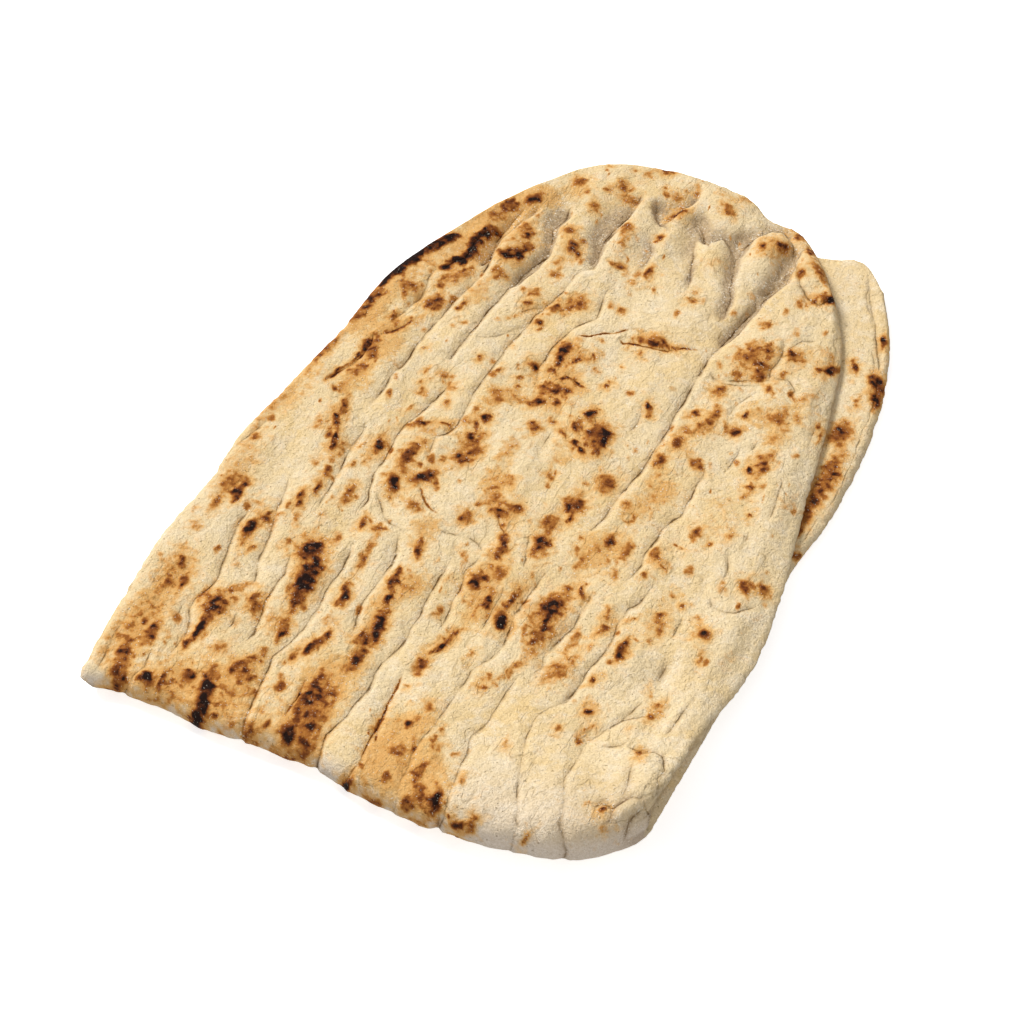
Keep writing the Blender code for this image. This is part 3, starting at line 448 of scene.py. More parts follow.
        (54, 65, 3.5, 4, 0, .65), (77, 57.5, 7, 6, 0, .38), (71, 55, 1.5, 2.5, 0, .75),
        (83.5, 57.5, 3.4, 5, 0, .58), (91, 62, 2.5, 4, 0, .45), (58, 48, 3.5, 8, -.05, .6),
        (55, 40, 3, 4, 0, .6), (49, 47, 2, 3, 0, .65), (51, 36, 4, 2.5, .5, .5),
        (69, 44.5, 2.8, 3.5, 0, .7), (86, 45, 4, 4, 0, .35), (87, 52, 3, 4, 0, .35),
        (86.5, 32, 3.6, 6, -.1, .52), (88, 27, 3, 5, 0, .55), (84, 25, 1.3, 2, 0, .8),
        (88, 15, 1.5, 2.5, 0, .7), (50, 28, 2.8, 4, -.1, .9), (101, 62, 1.5, 3, 0, .6),
        (104.5, 56, 1.5, 5, 0, .46),
    ],
    "right, halfway": [
        (62, 18, 4, 3.5, -.8, .6), (48, 14.5, 2.4, 4, 0, .6), (45, 12, 2, 3, 0, .45), (49, 5, 1.5, 2, 0, .5),
        (44, 22, 1.2, 2, 0, .4), (48, -2, 1.5, 1.5, 0, .45), (55, 0, 6, 8, 0, .25),
        (52, -12, 5, 12, 0, .35), (44, -17, 3, 4, 0, .5), (48, -24, 2, 3, 0, .45),
        (45, -38, 3.4, 4, 0, .68), (41, -44, 3, 3, 0, .5), (53, -40, 2, 5, -.1, .7),
        (66, -38, 3, 4.5, 0, .65), (70, -42, 1.5, 1, 0, .7), (106.4, -40, 2.2, 5, -.15, .64),
        (113, -38, 2, 5.5, -.2, .6), (90, -16, 1.5, 2.2, 0, .6), (84, -24, 1.5, 2.5, 0, .45),
        (93, -1, 1, 1.5, 0, .6), (75, -20, 1.5, 2.5, 0, .4), (73, -31, 1.5, 1.5, 0, .4),
        (105, 11, 3.5, 5, 0, .25), (80, -15, 12, 18, 0, .18), (97, -44, 2, 4, 0, .35),
        (88, 8, 2.5, 3, 0, .35), (81, 4, 1, 1, 0, .3),
    ],
    "right by the fold": [
        (99.5, -71.4, 3.4, 3.4, 0, .78), (95, -64, 2, 2, 0, .35), (80, -56, 1.8, 1.5, 0, .5),
        (86, -59, 1.5, 1.5, 0, .65), (65, -52, 2, 2, 0, .5), (59, -73, 1.5, 3, -.5, .45),
        (61, -77, 1.3, 2, 0, .65), (61, -87, 1.3, 2.2, 0, .75), (60, -96, 1.5, 2.5, 0, .4),
        (69, -76, 1.8, 3, .4, .5), (79, -72, 4, 6, 0, .35), (79, -70, 1.5, 3, 0, .5),
        (82, -76, 2, 2.5, 0, .5), (81, -83, 1.3, 1.3, 0, .45), (73, -92, 2.6, 6, .1, .85),
        (104, -84, 1.2, 1.8, 0, .65), (113, -80, 1.2, 1.5, 0, .35), (69, -111, 1.5, 2, .5, .8),
        (97, -112, 2, 2, 0, .6), (92, -108, 1.3, 2, -.5, .5), (96, -119, 1.5, 1.5, 0, .65),
        (53, -95, 2, 9, 0, .45), (57, -104, 1.5, 4, 0, .5), (53, -112, 5, 7, 0, .5),
        (52, -118, 4, 4, 0, .35), (73, -125.5, 3, 2, 0, .85), (92, -128, 1, 1, 0, .4),
        (65.5, -139, 1.2, 2, 0, .5), (76, -142, 2, 3, .3, .35), (76, -134, .8, 4, .5, .4),
        (99, -139, 1, 2.2, 0, .8), (89, -170, 1.2, 2, 0, .25), (50, -156, 1, 3, 0, .45),
        (43, -178, 2, 3, 0, .35),
    ],
    "middle by the fold": [
        (8, -168, 8, 8, 0, .28), (2, -143, 1.5, 1, 0, .45), (24, -158, 1.8, 1.2, 0, .45),
        (24, -166, 2, 2, 0, .5),
        (24, -169, 1.3, 1, 0, .55), (28, -166, 1.5, 1.2, 0, .45), (25, -181, 2.4, 4, -.3, .7),
        (15, -189, 3, 3, 0, .6), (30, -190, 5, 8, -.2, .5), (18, -173, 1.2, 1.5, 0, .35),
        (5, -118.6, 1.6, 5, .4, .62), (.7, -166, 1.2, 6, 0, .76), (2.6, -201, 1.8, 7, .1, .92),
        (3, -124, 1.4, 5, .5, .55),
    ],
    "middle, a third up": [
        (6, -116, 1.5, 9, .35, .75), (3, -131, 1.5, 3, 0, .65), (19, -119, 1.5, 2, 0, .4),
        (28, -128, 1.5, 1.5, 0, .5), (30, -133, 3, 2.5, .4, .5), (37, -118, 2, 8, .6, .5),
        (40, -107, 4, 8, 0, .35), (21, -95, 3, 7, 0, .7), (23, -97, 2.5, 5, 0, 1),
        (21, -85, 1.5, 6, -.1, .75), (22, -79, 1.3, 3, 0, .6), (23, -69, 1.5, 3, 0, .4),
        (37, -82, 5, 8, 0, .8), (39, -88, 2, 5, 0, .86), (40, -70, 3, 4, 0, .52), (40, -98, 2.5, 5, 0, .7),
        (38, -88, 8, 16, 0, .5), (46, -70, 1.5, 4.5, -.3, .95), (43, -49, 10, 10, 0, .34),
        (38, -55, 2, 5, 0, .5), (54, -56, 1.5, 3, 0, .5), (20, -52, 3.8, 7.2, -.1, .8),
        (4, -55, 2.5, 5, 0, .7), (6, -62, 3, 4, 0, .7), (11, -73, 3, 4, -.5, .65),
        (3, -82, 2.5, 6, 0, .85), (6, -79, 1.5, 2, 0, .9), (12, -90, 2.2, 4, -.1, .9),
        (9, -97, 1.2, 5, 0, .5), (8, -80, 7, 22, -.1, .45), (-14.5, -50, 3.4, 4.4, 0, .7),
        (-25, -74, 2, 6, -.3, .75), (-27, -95, 2, 5, 0, .85), (-25, -106, 1.5, 4, 0, .8),
        (-24, -100, 6, 16, 0, .4), (-18, -95, 3, 6, 0, .35), (-28, -62, 6, 6, 0, .35),
        (-8, -68, 2, 3, 0, .3), (-7, -86, 1.5, 3, .2, .4), (-5, -105, 2, 3, 0, .35),
    ],
    "middle, halfway": [
        (-15, -7, 4, 9, 0, .32), (-13, -24, 6, 5, 0, .42), (-6.8, -25, 3, 4, 0, .44),
        (-11, -30, 4, 4, 0, .44), (-9, -36, 5, 4, 0, .48), (2, -37.6, 2.6, 3.4, 0, .94),
        (-4, -43, 4, 2.6, -.3, .72),
        (-2, -40, 8, 6, 0, .45), (-32, 8, 2.6, 3.5, 0, .9), (-38, 10, 2, 2, 0, .5),
        (-38, 2, 1.5, 2.5, 0, .5), (-34, -5, 2.6, 2.5, 0, .9), (-29, -3, 2, 1.5, .5, .5),
        (-28, -12, 3, 4, 0, .8), (-31.5, -18, 4, 4, 0, .62), (-31, -15, 6, 10, 0, .5),
        (-39, -22, 2, 2, 0, .5), (-16, 26, 4, 3.5, .3, .85), (-25, 24, 4, 2, 0, .5),
        (-33, 22, 4, 6, 0, .5), (-15, 33, 4, 3, 0, .5), (-10, 10, 2.6, 3, 0, .68),
        (-11, 11, 4, 4.5, 0, .45), (-8, 28, 2.5, 2, 0, .75), (-5, 17, 1.5, 1, 0, .45),
        (9, 27, 3, 3.5, 0, .85), (5, 18, 3, 2.5, -.3, .85), (17, 17, 6, 7, 0, .85),
        (21, 14, 2, 5, 0, .95), (1, 12, 1.5, 2.5, -.6, .7), (9, 8, 2.5, 2, 0, .85),
        (14, 5, 2.5, 2, -.5, .8), (20, 8, 2, 3, 0, .8), (3, 4, 2, 1.5, 0, .35),
        (6, -4, 3, 2.5, -.5, .4), (7, -13.3, 2.2, 2.6, -.3, .62), (30.4, -7, 4.2, 6.2, -.1, .76),
        (23, -13, 1.5, 2, 0, .35), (23.5, -25, 4.6, 5, 0, .8), (25, -31, 1.5, 3, 0, .85),
        (19.2, -38, 4.2, 5.4, 0, .6),
    ],
    "middle, two thirds up": [
        (-18, 58, 3, 8, 0, .75), (-18, 62, 4, 3, 0, .8), (-14, 58, 9, 12, 0, .45),
        (-26, 46, 2.8, 4, -.3, .9), (-17, 47, 2, 1.3, 0, .8), (-10, 46, 4, 1.2, -.3, .85),
        (-3, 42, 3, 1, -.7, .75), (-12, 37, 3, 3.5, 0, .8), (-7, 37, 2.5, 3, 0, .6),
        (-14, 34, 3, 2, 0, .7), (-11, 37, 8, 7, 0, .5), (-18, 38, 2, 2.5, .6, .65),
        (-27, 31, 2, 2, 0, .6), (-30, 37, 1.5, 1.5, 0, .5), (-5, 60, 2, 1.5, .3, .6),
        (-10, 56, 1, 4, .8, .6), (-5, 97, 2, 2.2, 0, .6), (-5, 72, 1.5, 2, 0, .35),
        (16, 82.6, 6, 3.4, 0, .6), (20, 81, 7, 1.5, .05, .76), (26, 81.6, 3, 1.3, .5, .74),
        (10, 82, 2, 2, 0, .65), (6, 75, 1, 1.5, 0, .45), (14, 72, 1.5, 1.3, 0, .6),
        (9, 62, 1, 1, 0, .35), (8, 48, 1.2, 2, 0, .7), (30, 41, 2, 3.2, -.4, .8),
        (35, 58, 1.5, 1.5, 0, .25),
    ],
}

lowerMarks = [
    (111.5, 62, 5.5, 7, 0, .66), (110, 57, 3, 4, 0, .75), (118.4, 90, 2.6, 9, -.2, .8),
    (116, 97, 3, 5, -.4, .75), (103.3, 103, 1.5, 5, -.3, .7), (110, 123, 1.4, 5, -.2, .9),
    (115.5, 38, 4.5, 8, 0, .66), (115, 26, 4, 10, 0, .62), (114, 12, 4, 10, .1, .7),
    (115, 2, 3, 8, .1, .62), (111.5, 82, 1.4, 4, 0, .5), (115, 49, 3, 7, -.2, .42),
    (119, -14, 2.5, 2.5, 0, .55),
]

# Wide pale spots are golden more than brown, and every spot has a toasted halo
spotShape = {
    "paleBelow": 0.48,
    "wideFrom": 4.4,
    "goldenShare": 0.65,
    "edge": 0.9,
    "haloAcross": 2.8,
    "haloAlong": 4.0,
}

freckles = {
    "seed": 5, "tries": 4200, "across": (-125, 125), "along": (-205, 203), "everywhere": 0.06, "onToast": 0.9,
    "plainFrom": (50, -95), "smallest": 0.6, "largest": 2.3, "stretch": (0.8, 2.0), "lean": -0.2,
    "palest": 0.25, "darkest": 0.66,
}
hiddenMarks = {
    "seed": 11, "count": 260, "across": (-118, 118), "along": (-190, 200), "smallest": 1.2, "largest": 6.5,
    "stretch": (1, 2.4), "lean": (-.3, .3), "palest": 0.3, "darkest": 0.9,
}


def through(points, at):
    positions, values = np.array(points, float).T
    slopes = np.gradient(values, positions)
    at = np.clip(at, positions[0], positions[-1])
    left = np.clip(np.searchsorted(positions, at) - 1, 0, len(positions) - 2)
    step = positions[left + 1] - positions[left]
    t = (at - positions[left]) / step
    rise = values[left + 1] - values[left]
    start = slopes[left] * step
    end = slopes[left + 1] * step
    return values[left] + t * (start + t * (3 * rise - 2 * start - end + t * (start + end - 2 * rise)))


def alongArch(points, part):
    steps = np.hypot(*np.diff(np.array(points, float), axis=0).T)
    reach = np.concatenate([[0], np.cumsum(steps)]) / steps.sum()
    x = through([(r, p[0]) for r, p in zip(reach, points)], part)
    y = through([(r, p[1]) for r, p in zip(reach, points)], part)
    return x, y


def smoothStep(t):
    t = np.clip(t, 0, 1)
    return t * t * (3 - 2 * t)


def bendCentre(x):
    radius = through(breadSheet["foldRadius"], x)
    return through(breadSheet["foldEdge"], x) + radius + breadSheet["thickness"] / 2, radius


def coonsPatch(u, v, sides, ends, corners):
    across = (1 - u) * sides[0] + u * sides[1]
    along = (1 - v) * ends[0] + v * ends[1]
    near = (1 - u) * corners[0] + u * corners[1]
    far = (1 - u) * corners[2] + u * corners[3]
    return across + along - (1 - v) * near - v * far


# Plan place in a leaf, across from -1 to 1 and along from the bend (0) to the arched end (1)
def leafPlan(across, along, left, right, end):
    u = (across + 1) / 2
    nearY = [float(bendCentre(np.array(side[0][1]))[0]) for side in (left, right)]
    nearX = [float(through(side, np.array(y))) for side, y in zip((left, right), nearY)]
    sideY = [y + along * (tip[1] - y) for y, tip in zip(nearY, (end[0], end[-1]))]
    sideX = [through(side, y) for side, y in zip((left, right), sideY)]
    baseX = nearX[0] + u * (nearX[1] - nearX[0])
    baseY = bendCentre(baseX)[0]
    endX, endY = alongArch(end, u)
    x = coonsPatch(u, along, sideX, (baseX, endX), (*nearX, end[0][0], end[-1][0]))
    y = coonsPatch(u, along, sideY, (baseY, endY), (*nearY, end[0][1], end[-1][1]))
    return x, y


# Middle of the sheet in the YZ plane, and the direction out of its outer side
def centreLine(x, y, turn, upper, inBend):
    thickness = breadSheet["thickness"]
    settle = breadSheet["settleLength"]
    centreY, radius = bendCentre(x)
    topOfBend = thickness / 2 + 2 * radius
    drop = topOfBend - (1.5 * thickness + breadSheet["leafGap"])
    settled = np.clip((y - centreY) / settle, 0, 1)
    upperZ = topOfBend - drop * smoothStep(settled)
    upperSlope = 6 * drop / settle * settled * (1 - settled)
    lineY = np.where(inBend, centreY - radius * np.cos(turn), y)
    straightZ = np.where(upper, upperZ, thickness / 2)
    lineZ = np.where(inBend, thickness / 2 + radius * (1 + np.sin(turn)), straightZ)
    outY = np.where(inBend, -np.cos(turn), np.where(upper, upperSlope, 0))
    outZ = np.where(inBend, np.sin(turn), np.where(upper, 1, -1))
    return lineY, lineZ, outY, outZ


def cameraPlace():
    azimuth = math.radians(photoCamera["azimuth"])
    elevation = math.radians(photoCamera["elevation"])
    back = np.array([
        math.sin(azimuth) * math.cos(elevation),
        -math.cos(azimuth) * math.cos(elevation),
        math.sin(elevation),
    ])
    return np.array(photoCamera["target"]) + back * photoCamera["distance"], back


# Where the camera's line of sight through each point meets the level plane that the places were read on
def seenPlace(points):
    eye = cameraPlace()[0]
    share = (eye[2] - photoCamera["readingHeight"]) / (eye[2] - points[:, 2])
    seen = eye + (points - eye) * share[:, None]
    return seen[:, 0], seen[:, 1]


# Coherent unevenness from -1 to 1, with lumps of about the given size across and along
def lumps(x, y, across, along, layer):
    places = np.stack([x / across, y / along, np.full_like(x, 7.3 * layer)], axis=1)
    return np.array([noise.noise(place) for place in places.tolist()])


# Signed distance to a line of points, and how far along it the nearest place is
def distanceToLine(x, y, points):
    points = np.array(points, float)
    starts, steps = points[:-1], np.diff(points, axis=0)
    lengths = np.hypot(*steps.T)
    reached = np.concatenate([[0], np.cumsum(lengths)])
    dx = x[:, None] - starts[:, 0]
    dy = y[:, None] - starts[:, 1]
    t = np.clip((dx * steps[:, 0] + dy * steps[:, 1]) / lengths**2, 0, 1)
    far = np.hypot(dx - t * steps[:, 0], dy - t * steps[:, 1])
    nearest = far.argmin(axis=1)
    row = np.arange(len(x))
    side = np.sign(dx * steps[:, 1] - dy * steps[:, 0])[row, nearest]
    along = reached[nearest] + (t * lengths)[row, nearest]
    return np.where(side == 0, 1, side) * far[row, nearest], along, reached[-1]


# Depth of the pressed lines and, in layers whose lines keep clear of each other, the signed distance to
# the nearest line with its strength and its char
def pressedLines(x, y, lines, vary):
    depth = np.zeros_like(x)
    way = np.full((lineLayers, len(x)), 9.0)
    strength = np.zeros((lineLayers, len(x)))
    char = np.zeros((lineLayers, len(x)))
    for kind, points in lines:
        look = creaseKinds[kind]
        low = np.min(points, axis=0) - 10
        high = np.max(points, axis=0) + 10
        near = np.flatnonzero((x > low[0]) & (x < high[0]) & (y > low[1]) & (y < high[1]))
        if not len(near):
            continue
        far, along, length = distanceToLine(x[near], y[near], points)
        ends = min(look["fade"], length / 2)
        shown = smoothStep(along / ends) * smoothStep((length - along) / ends)
        # The valley slopes gently on the left of the line and steeply on its right
        width = look["width"] * np.where(far > 0, pressing["steepSide"], pressing["gentleSide"])
        depth[near] += shown * look["valley"] * np.exp(-(far / width) ** 2)
        cut = shown * pressing["cutShare"] * look["cut"] * vary[near]
        depth[near] += cut * np.exp(-(far / pressing["cutWidth"]) ** 2)
        drawn = smoothStep((pressing["drawnWithin"] - np.abs(far)) / pressing["drawnFade"])
        window = shown * vary[near] * drawn
        clear = pressing["keptClear"]
        spots = near[np.abs(far) < clear]
        taken = [np.count_nonzero(np.abs(way[layer, spots]) < clear) for layer in range(lineLayers)]
        layer = int(np.argmin(taken))
        closer = np.abs(far) < np.abs(way[layer, near])
        way[layer, near[closer]] = far[closer]
        strength[layer, near[closer]] = (window * look["cut"])[closer]
        char[layer, near[closer]] = (window * look["char"])[closer]
    return depth, way, strength, char


# How charred and how toasted each place is
def burnAt(x, y, marks):
    burn = np.zeros_like(x)
    toast = np.zeros_like(x)
    for middleX, middleY, halfWidth, halfLength, lean, level in marks:
        golden = level < spotShape["paleBelow"] and halfWidth > spotShape["wideFrom"]
        charred = level * (spotShape["goldenShare"] if golden else 1)
        dy = y - middleY
        near = np.flatnonzero((np.abs(dy) < 2 * halfLength + 9) & (np.abs(x - middleX) < 60))
        dy = dy[near]
        dx = x[near] - middleX - lean * dy
        far = np.sqrt((dx / halfWidth) ** 2 + (dy / halfLength) ** 2)
        wide = (dx / (halfWidth + spotShape["haloAcross"])) ** 2
        wide = wide + (dy / (halfLength + spotShape["haloAlong"])) ** 2
        burn[near] += (charred * np.exp(-spotShape["edge"] * far**3)) ** 3
        toast[near] += (level * np.exp(-wide)) ** 2
    return burn ** (1 / 3), np.minimum(np.sqrt(toast), 1)


def patchesAt(x, y, patches):
    share = np.zeros_like(x)
    for middleX, middleY, halfWidth, halfLength, level in patches:
        share += level * np.exp(-((x - middleX) / halfWidth) ** 2 - ((y - middleY) / halfLength) ** 2)
    return share


def undersideMarks():
    chance = np.random.RandomState(hiddenMarks["seed"])
    marks = []
    smallest, palest = hiddenMarks["smallest"], hiddenMarks["palest"]
    for _ in range(hiddenMarks["count"]):
        size = smallest + (hiddenMarks["largest"] - smallest) * chance.rand() ** 3
        level = palest + (hiddenMarks["darkest"] - palest) * chance.rand()
        x = chance.uniform(*hiddenMarks["across"])
        y = chance.uniform(*hiddenMarks["along"])
        length = size * chance.uniform(*hiddenMarks["stretch"])
        marks.append((x, y, size, length, chance.uniform(*hiddenMarks["lean"]), level))
    return marks


# Small random specks, thickest where the crust is toasted
def freckleMarks(marks):
    chance = np.random.RandomState(freckles["seed"])
    count = freckles["tries"]
    x = chance.uniform(*freckles["across"], count)
    y = chance.uniform(*freckles["along"], count)
    toast = burnAt(x, y, marks)[1]
    plainX, plainY = freckles["plainFrom"]
    everywhere = np.where((x > plainX) & (y < plainY), 0, freckles["everywhere"])
    kept = chance.rand(count) < everywhere + freckles["onToast"] * toast**1.5
    size = freckles["smallest"] + (freckles["largest"] - freckles["smallest"]) * chance.rand(count) ** 2
    length = size * chance.uniform(*freckles["stretch"], count)
    level = chance.uniform(freckles["palest"], freckles["darkest"], count)
    return [(x[i], y[i], size[i], length[i], freckles["lean"], level[i]) for i in np.flatnonzero(kept)]


def broadWaves(x, y):
    acrossLength, alongLength = breadSheet["waveAcross"], breadSheet["waveAlong"]
    across = np.sin(2 * np.pi * x / acrossLength + 1.3 * np.sin(2 * np.pi * y / (1.7 * alongLength)))
    along = np.sin(2 * np.pi * y / alongLength + 0.8 * np.sin(2 * np.pi * x / (1.9 * acrossLength)))
    return breadSheet["waveHeight"] * across * along


def undersideRelief(x, y):
    dent = np.maximum(0, np.sin(x / 9 + y / 31) * np.sin(y / 17 - x / 23))
    relief = -breadSheet["undersideDent"] * dent
    apart, width = breadSheet["undersideFurrowApart"], breadSheet["undersideFurrowWidth"]
    for row in range(-6, 7):
        middle = apart * row + 5 * np.sin(y / 37 + 2 * row) + 3 * np.sin(y / 19 + row)
        pressed = np.clip(0.5 + np.sin(y / 33 + 1.7 * row), 0, 1)
        valley = np.exp(-((x - middle) / width) ** 2)
        relief = relief - breadSheet["undersideFurrow"] * pressed * valley
    return relief


# Carries the flat slab (across, along, side; each from -1 to 1) to the folded bread, in millimetres,
# with a height over the plain sheet for each point of its outer side
def foldSheet(slab, relief, ragged):
    sheet = breadSheet
    across, along, side = slab.T
    bendPart = sheet["bendRows"] / sheet["rows"]
    inBend = np.abs(along) <= bendPart
    upper = along > 0

    # The flat faces stop short of the outline, and the rim between them bulges out to it
    inset = 1 - np.sqrt(np.maximum(0, 1 - side**2))
    rimInset = (inset * sheet["rimReach"] + ragged) / sheet["halfWidth"]
    endInset = (inset * sheet["rimReach"] + ragged) / sheet["leafLength"]
    across = across * (1 - rimInset)
    along = along * (1 - np.where(inBend, 0, endInset))
    leafPart = np.clip((np.abs(along) - bendPart) / (1 - bendPart), 0, 1)
    upperX, upperY = leafPlan(across, leafPart, sheet["upperLeft"], sheet["upperRight"], sheet["upperEnd"])
    lowerX, lowerY = leafPlan(across, leafPart, sheet["lowerLeft"], sheet["lowerRight"], sheet["lowerEnd"])
    x = np.where(upper, upperX, lowerX)
    y = np.where(upper, upperY, lowerY)

    # Half the sheet's thickness, a little less near the rim
    fromSide = (1 - np.abs(across)) * sheet["halfWidth"]
    fromEnd = (1 - leafPart) * sheet["leafLength"]
    inside = smoothStep(np.minimum(fromSide, fromEnd) / sheet["rimTaper"])
    half = sheet["thickness"] / 2 * (1 - sheet["rimThinning"] * (1 - inside))

    # The upper leaf's right rim sinks a little towards the lower leaf
    nearRim = 1 - smoothStep(np.minimum(np.where(across > 0, fromSide, 99), fromEnd) / sheet["rimSinkReach"])
    nearRim = nearRim * np.where(upper, smoothStep((across + 0.1) / 0.6) * smoothStep(leafPart * 6), 0)
    below, above = sheet["rimSinkBelow"], sheet["rimSink"]
    sunk = nearRim * (below + (above - below) * (side + 1) / 2)

    turn = np.clip(along / bendPart, -1, 1) * np.pi / 2
    height = side * half + relief - sunk
    lineY, lineZ, outY, outZ = centreLine(x, y, turn, upper, inBend)
    bread = np.stack([x, lineY + outY * height, np.maximum(lineZ + outZ * height, 0)], axis=1)
    return bread, {"inside": inside, "turn": turn, "upper": upper, "leafPart": leafPart}


def flatSlab():
    sheet = breadSheet
    bendPart = sheet["bendRows"] / sheet["rows"]
    slab = bmesh.new()
    bmesh.ops.create_grid(slab, x_segments=sheet["columns"], y_segments=sheet["rows"], size=1)
    bmesh.ops.solidify(slab, geom=slab.faces[:], thickness=2)
    middle = (max(v.co.z for v in slab.verts) + min(v.co.z for v in slab.verts)) / 2
    for vertex in slab.verts:
        vertex.co.z -= middle
    rim = [e for e in slab.edges if abs(e.verts[0].co.z - e.verts[1].co.z) > 1]
    bmesh.ops.subdivide_edges(slab, edges=rim, cuts=sheet["rimCuts"], use_grid_fill=True)

    # The crust that shows, the strip of the lower leaf beside the upper one, and the rim's length
    fine = set()
    for face in slab.faces:
        spot = face.calc_center_median()
        top = face.normal.z > 0.5 and spot.y > -bendPart
        strip = face.normal.z < -0.5 and spot.y < sheet["stripAlong"] and spot.x > sheet["stripAcross"]
        if top or strip:
            fine.update(face.edges)
        elif abs(face.normal.z) < 0.5:
            fine.update(e for e in face.edges if abs(e.verts[0].co.z - e.verts[1].co.z) < 0.01)
    bmesh.ops.subdivide_edges(slab, edges=list(fine), cuts=sheet["shownCuts"], use_grid_fill=True)

    under = {f for f in slab.faces if f.normal.z > 0.5 and f.calc_center_median().y < -bendPart}
    coarse = {e for f in under for e in f.edges if all(other in under for other in e.link_faces)}
    bmesh.ops.subdivide_edges(slab, edges=list(coarse), cuts=sheet["undersideCuts"], use_grid_fill=True)
    bmesh.ops.triangulate(slab, faces=slab.faces[:])
    return slab


# The folded bread's places in millimetres, and what the crust's material reads at each of them
def shapedBread(slab):
    sheet = breadSheet
    across, _, side = slab.T
    still = np.zeros(len(slab))
    plain, parts = foldSheet(slab, still, still)
    middle = (plain[:, :2].min(axis=0) + plain[:, :2].max(axis=0)) / 2
    upper, inside, turn, leafPart = parts["upper"], parts["inside"], parts["turn"], parts["leafPart"]
    outer = (side + 1) / 2
    shown = smoothStep(turn / (np.pi / 2) * 2.4 + 2.15)
    strip = (~upper) & (side < 0.5)

    # Read as the camera sees it, and warped a little, so that lines and spots aren't plain curves
    reading = plain.copy()
    reading[:, :2] += np.array(photoCamera["planMiddle"]) - middle
    x, y = seenPlace(reading)
    seen = (shown > 0.01) | strip
    x = np.where(seen, x, reading[:, 0])
    y = np.where(seen, y, reading[:, 1])
    broadX, smallX = lumps(x, y, 9, 11, 1), lumps(x, y, 3.6, 4.4, 2)
    broadY, smallY = lumps(x, y, 9, 12, 3), lumps(x, y, 3.6, 4.4, 4)

    def shifted(start, broad, small, shift):
        return start + shift[0] * broad + shift[1] * small

    spotX = shifted(x, broadX, smallX, sheet["spotShiftAcross"])
    spotY = shifted(y, broadY, smallY, sheet["spotShiftAlong"])
    lineX = shifted(x, broadX, smallX, sheet["lineShift"])
    lineY = shifted(y, broadY, smallY, sheet["lineShift"])

    vary = np.clip(0.85 + 1.3 * lumps(x, y, 7, 9, 10), 0.35, 1.25)
    depth, way, strength, lineChar = pressedLines(lineX, lineY, creases, vary)
    lowDepth, lowWay, lowStrength, lowChar = pressedLines(lineX, lineY, lowerCreases, vary)
    topMarks = [mark for marks in charMarks.values() for mark in marks]
    burn, toast = burnAt(spotX, spotY, topMarks)
    freckled = burnAt(spotX, spotY, freckleMarks(topMarks))[0]
    stripBurn, stripToast = burnAt(spotX, spotY, lowerMarks)
    underBurn, underToast = burnAt(spotX, spotY, undersideMarks())
    print("lines and spots placed on", len(slab), "points, middle of the plan at", middle.round(2))

    pits = np.zeros_like(x)
    for middleX, middleY, halfWidth, halfLength, rise in dimples:
        far = ((lineX - middleX) / halfWidth) ** 2 + ((lineY - middleY) / halfLength) ** 2
        pits += rise * np.exp(-far)
    relief = np.maximum(broadWaves(x, y) - depth + pits, -sheet["deepestRelief"])
    unevenness = sheet["bumpHeight"] * lumps(x, y, 8, 15, 5)
    unevenness = unevenness + 0.5 * sheet["bumpHeight"] * lumps(x, y, 4.5, 7, 6)
    wrinkles = sheet["wrinkleHeight"] * lumps(x, y, 2.2, 3.2, 7)
    blisters = sheet["blisterHeight"] * smoothStep((burn - 0.3) / 0.6)
    relief = (relief + unevenness + wrinkles + blisters) * shown * (0.2 + 0.8 * inside)
    under = undersideRelief(plain[:, 0], plain[:, 1]) + 0.5 * np.minimum(0, unevenness)
    relief = relief + np.where(upper, 0, under) * smoothStep(leafPart * 8)
    inner = 0.35 * unevenness - lowDepth * 0.6
    relief = np.where(strip & (side <= 0), -inner * (1 - outer) * inside, relief * outer)

    ragged = sheet["raggedRim"] * np.abs(lumps(x, y, 7, 7, 8) + 0.5 * lumps(x, y, 2.5, 2.5, 9))
    edge = smoothStep(1 - np.minimum(1 - np.abs(across), (1 - leafPart) * 3) * 30)
    bread = foldSheet(slab, relief, ragged * edge)[0]
    bread[:, :2] -= middle
    hollow = depth - np.minimum(0, pits)
    dustyAndShaded = patchesAt(spotX, spotY, dustAndShadePatches)
    golden = patchesAt(spotX, spotY, goldenPatches)

    topShare = np.where(strip, 0, shown)
    lowShare = np.where(strip, 1.0, 0)
    hiddenShare = 1 - topShare - lowShare
    looks = {
        "burn": topShare * np.maximum(burn, freckled) + lowShare * stripBurn + hiddenShare * underBurn,
        "toast": topShare * toast + lowShare * stripToast + hiddenShare * underToast,
        # Grey flour with painted shade, stronger in the hollows and pits and in the listed patches
        "dustAndShade": np.clip(topShare * (hollow / 2.5 + dustyAndShaded), 0, 1),
        "golden": topShare * np.minimum(golden, 1.1),
        # Painted shade on the front of the fold and the front right corner, which face away from the key
        # light, tinted grey like flour
        "frontFlourAndShade": topShare * np.maximum(
            smoothStep(0.98 - turn / (np.pi / 2) * 1.15),
            0.6 * smoothStep((-150 - spotY) / 50) * smoothStep((spotX - 15) / 50)),
        "rimShade": (1 - inside) * smoothStep(np.where(upper, 0.5 - side, 0.5 * side + 0.5)),
    }
    for layer in range(lineLayers):
        looks[f"lineWay{layer}"] = np.where(strip, lowWay[layer], way[layer])
        looks[f"lineDepth{layer}"] = np.where(strip, lowStrength[layer], strength[layer] * shown)
        looks[f"lineChar{layer}"] = np.where(strip, lowChar[layer], lineChar[layer] * shown)
    return bread, looks


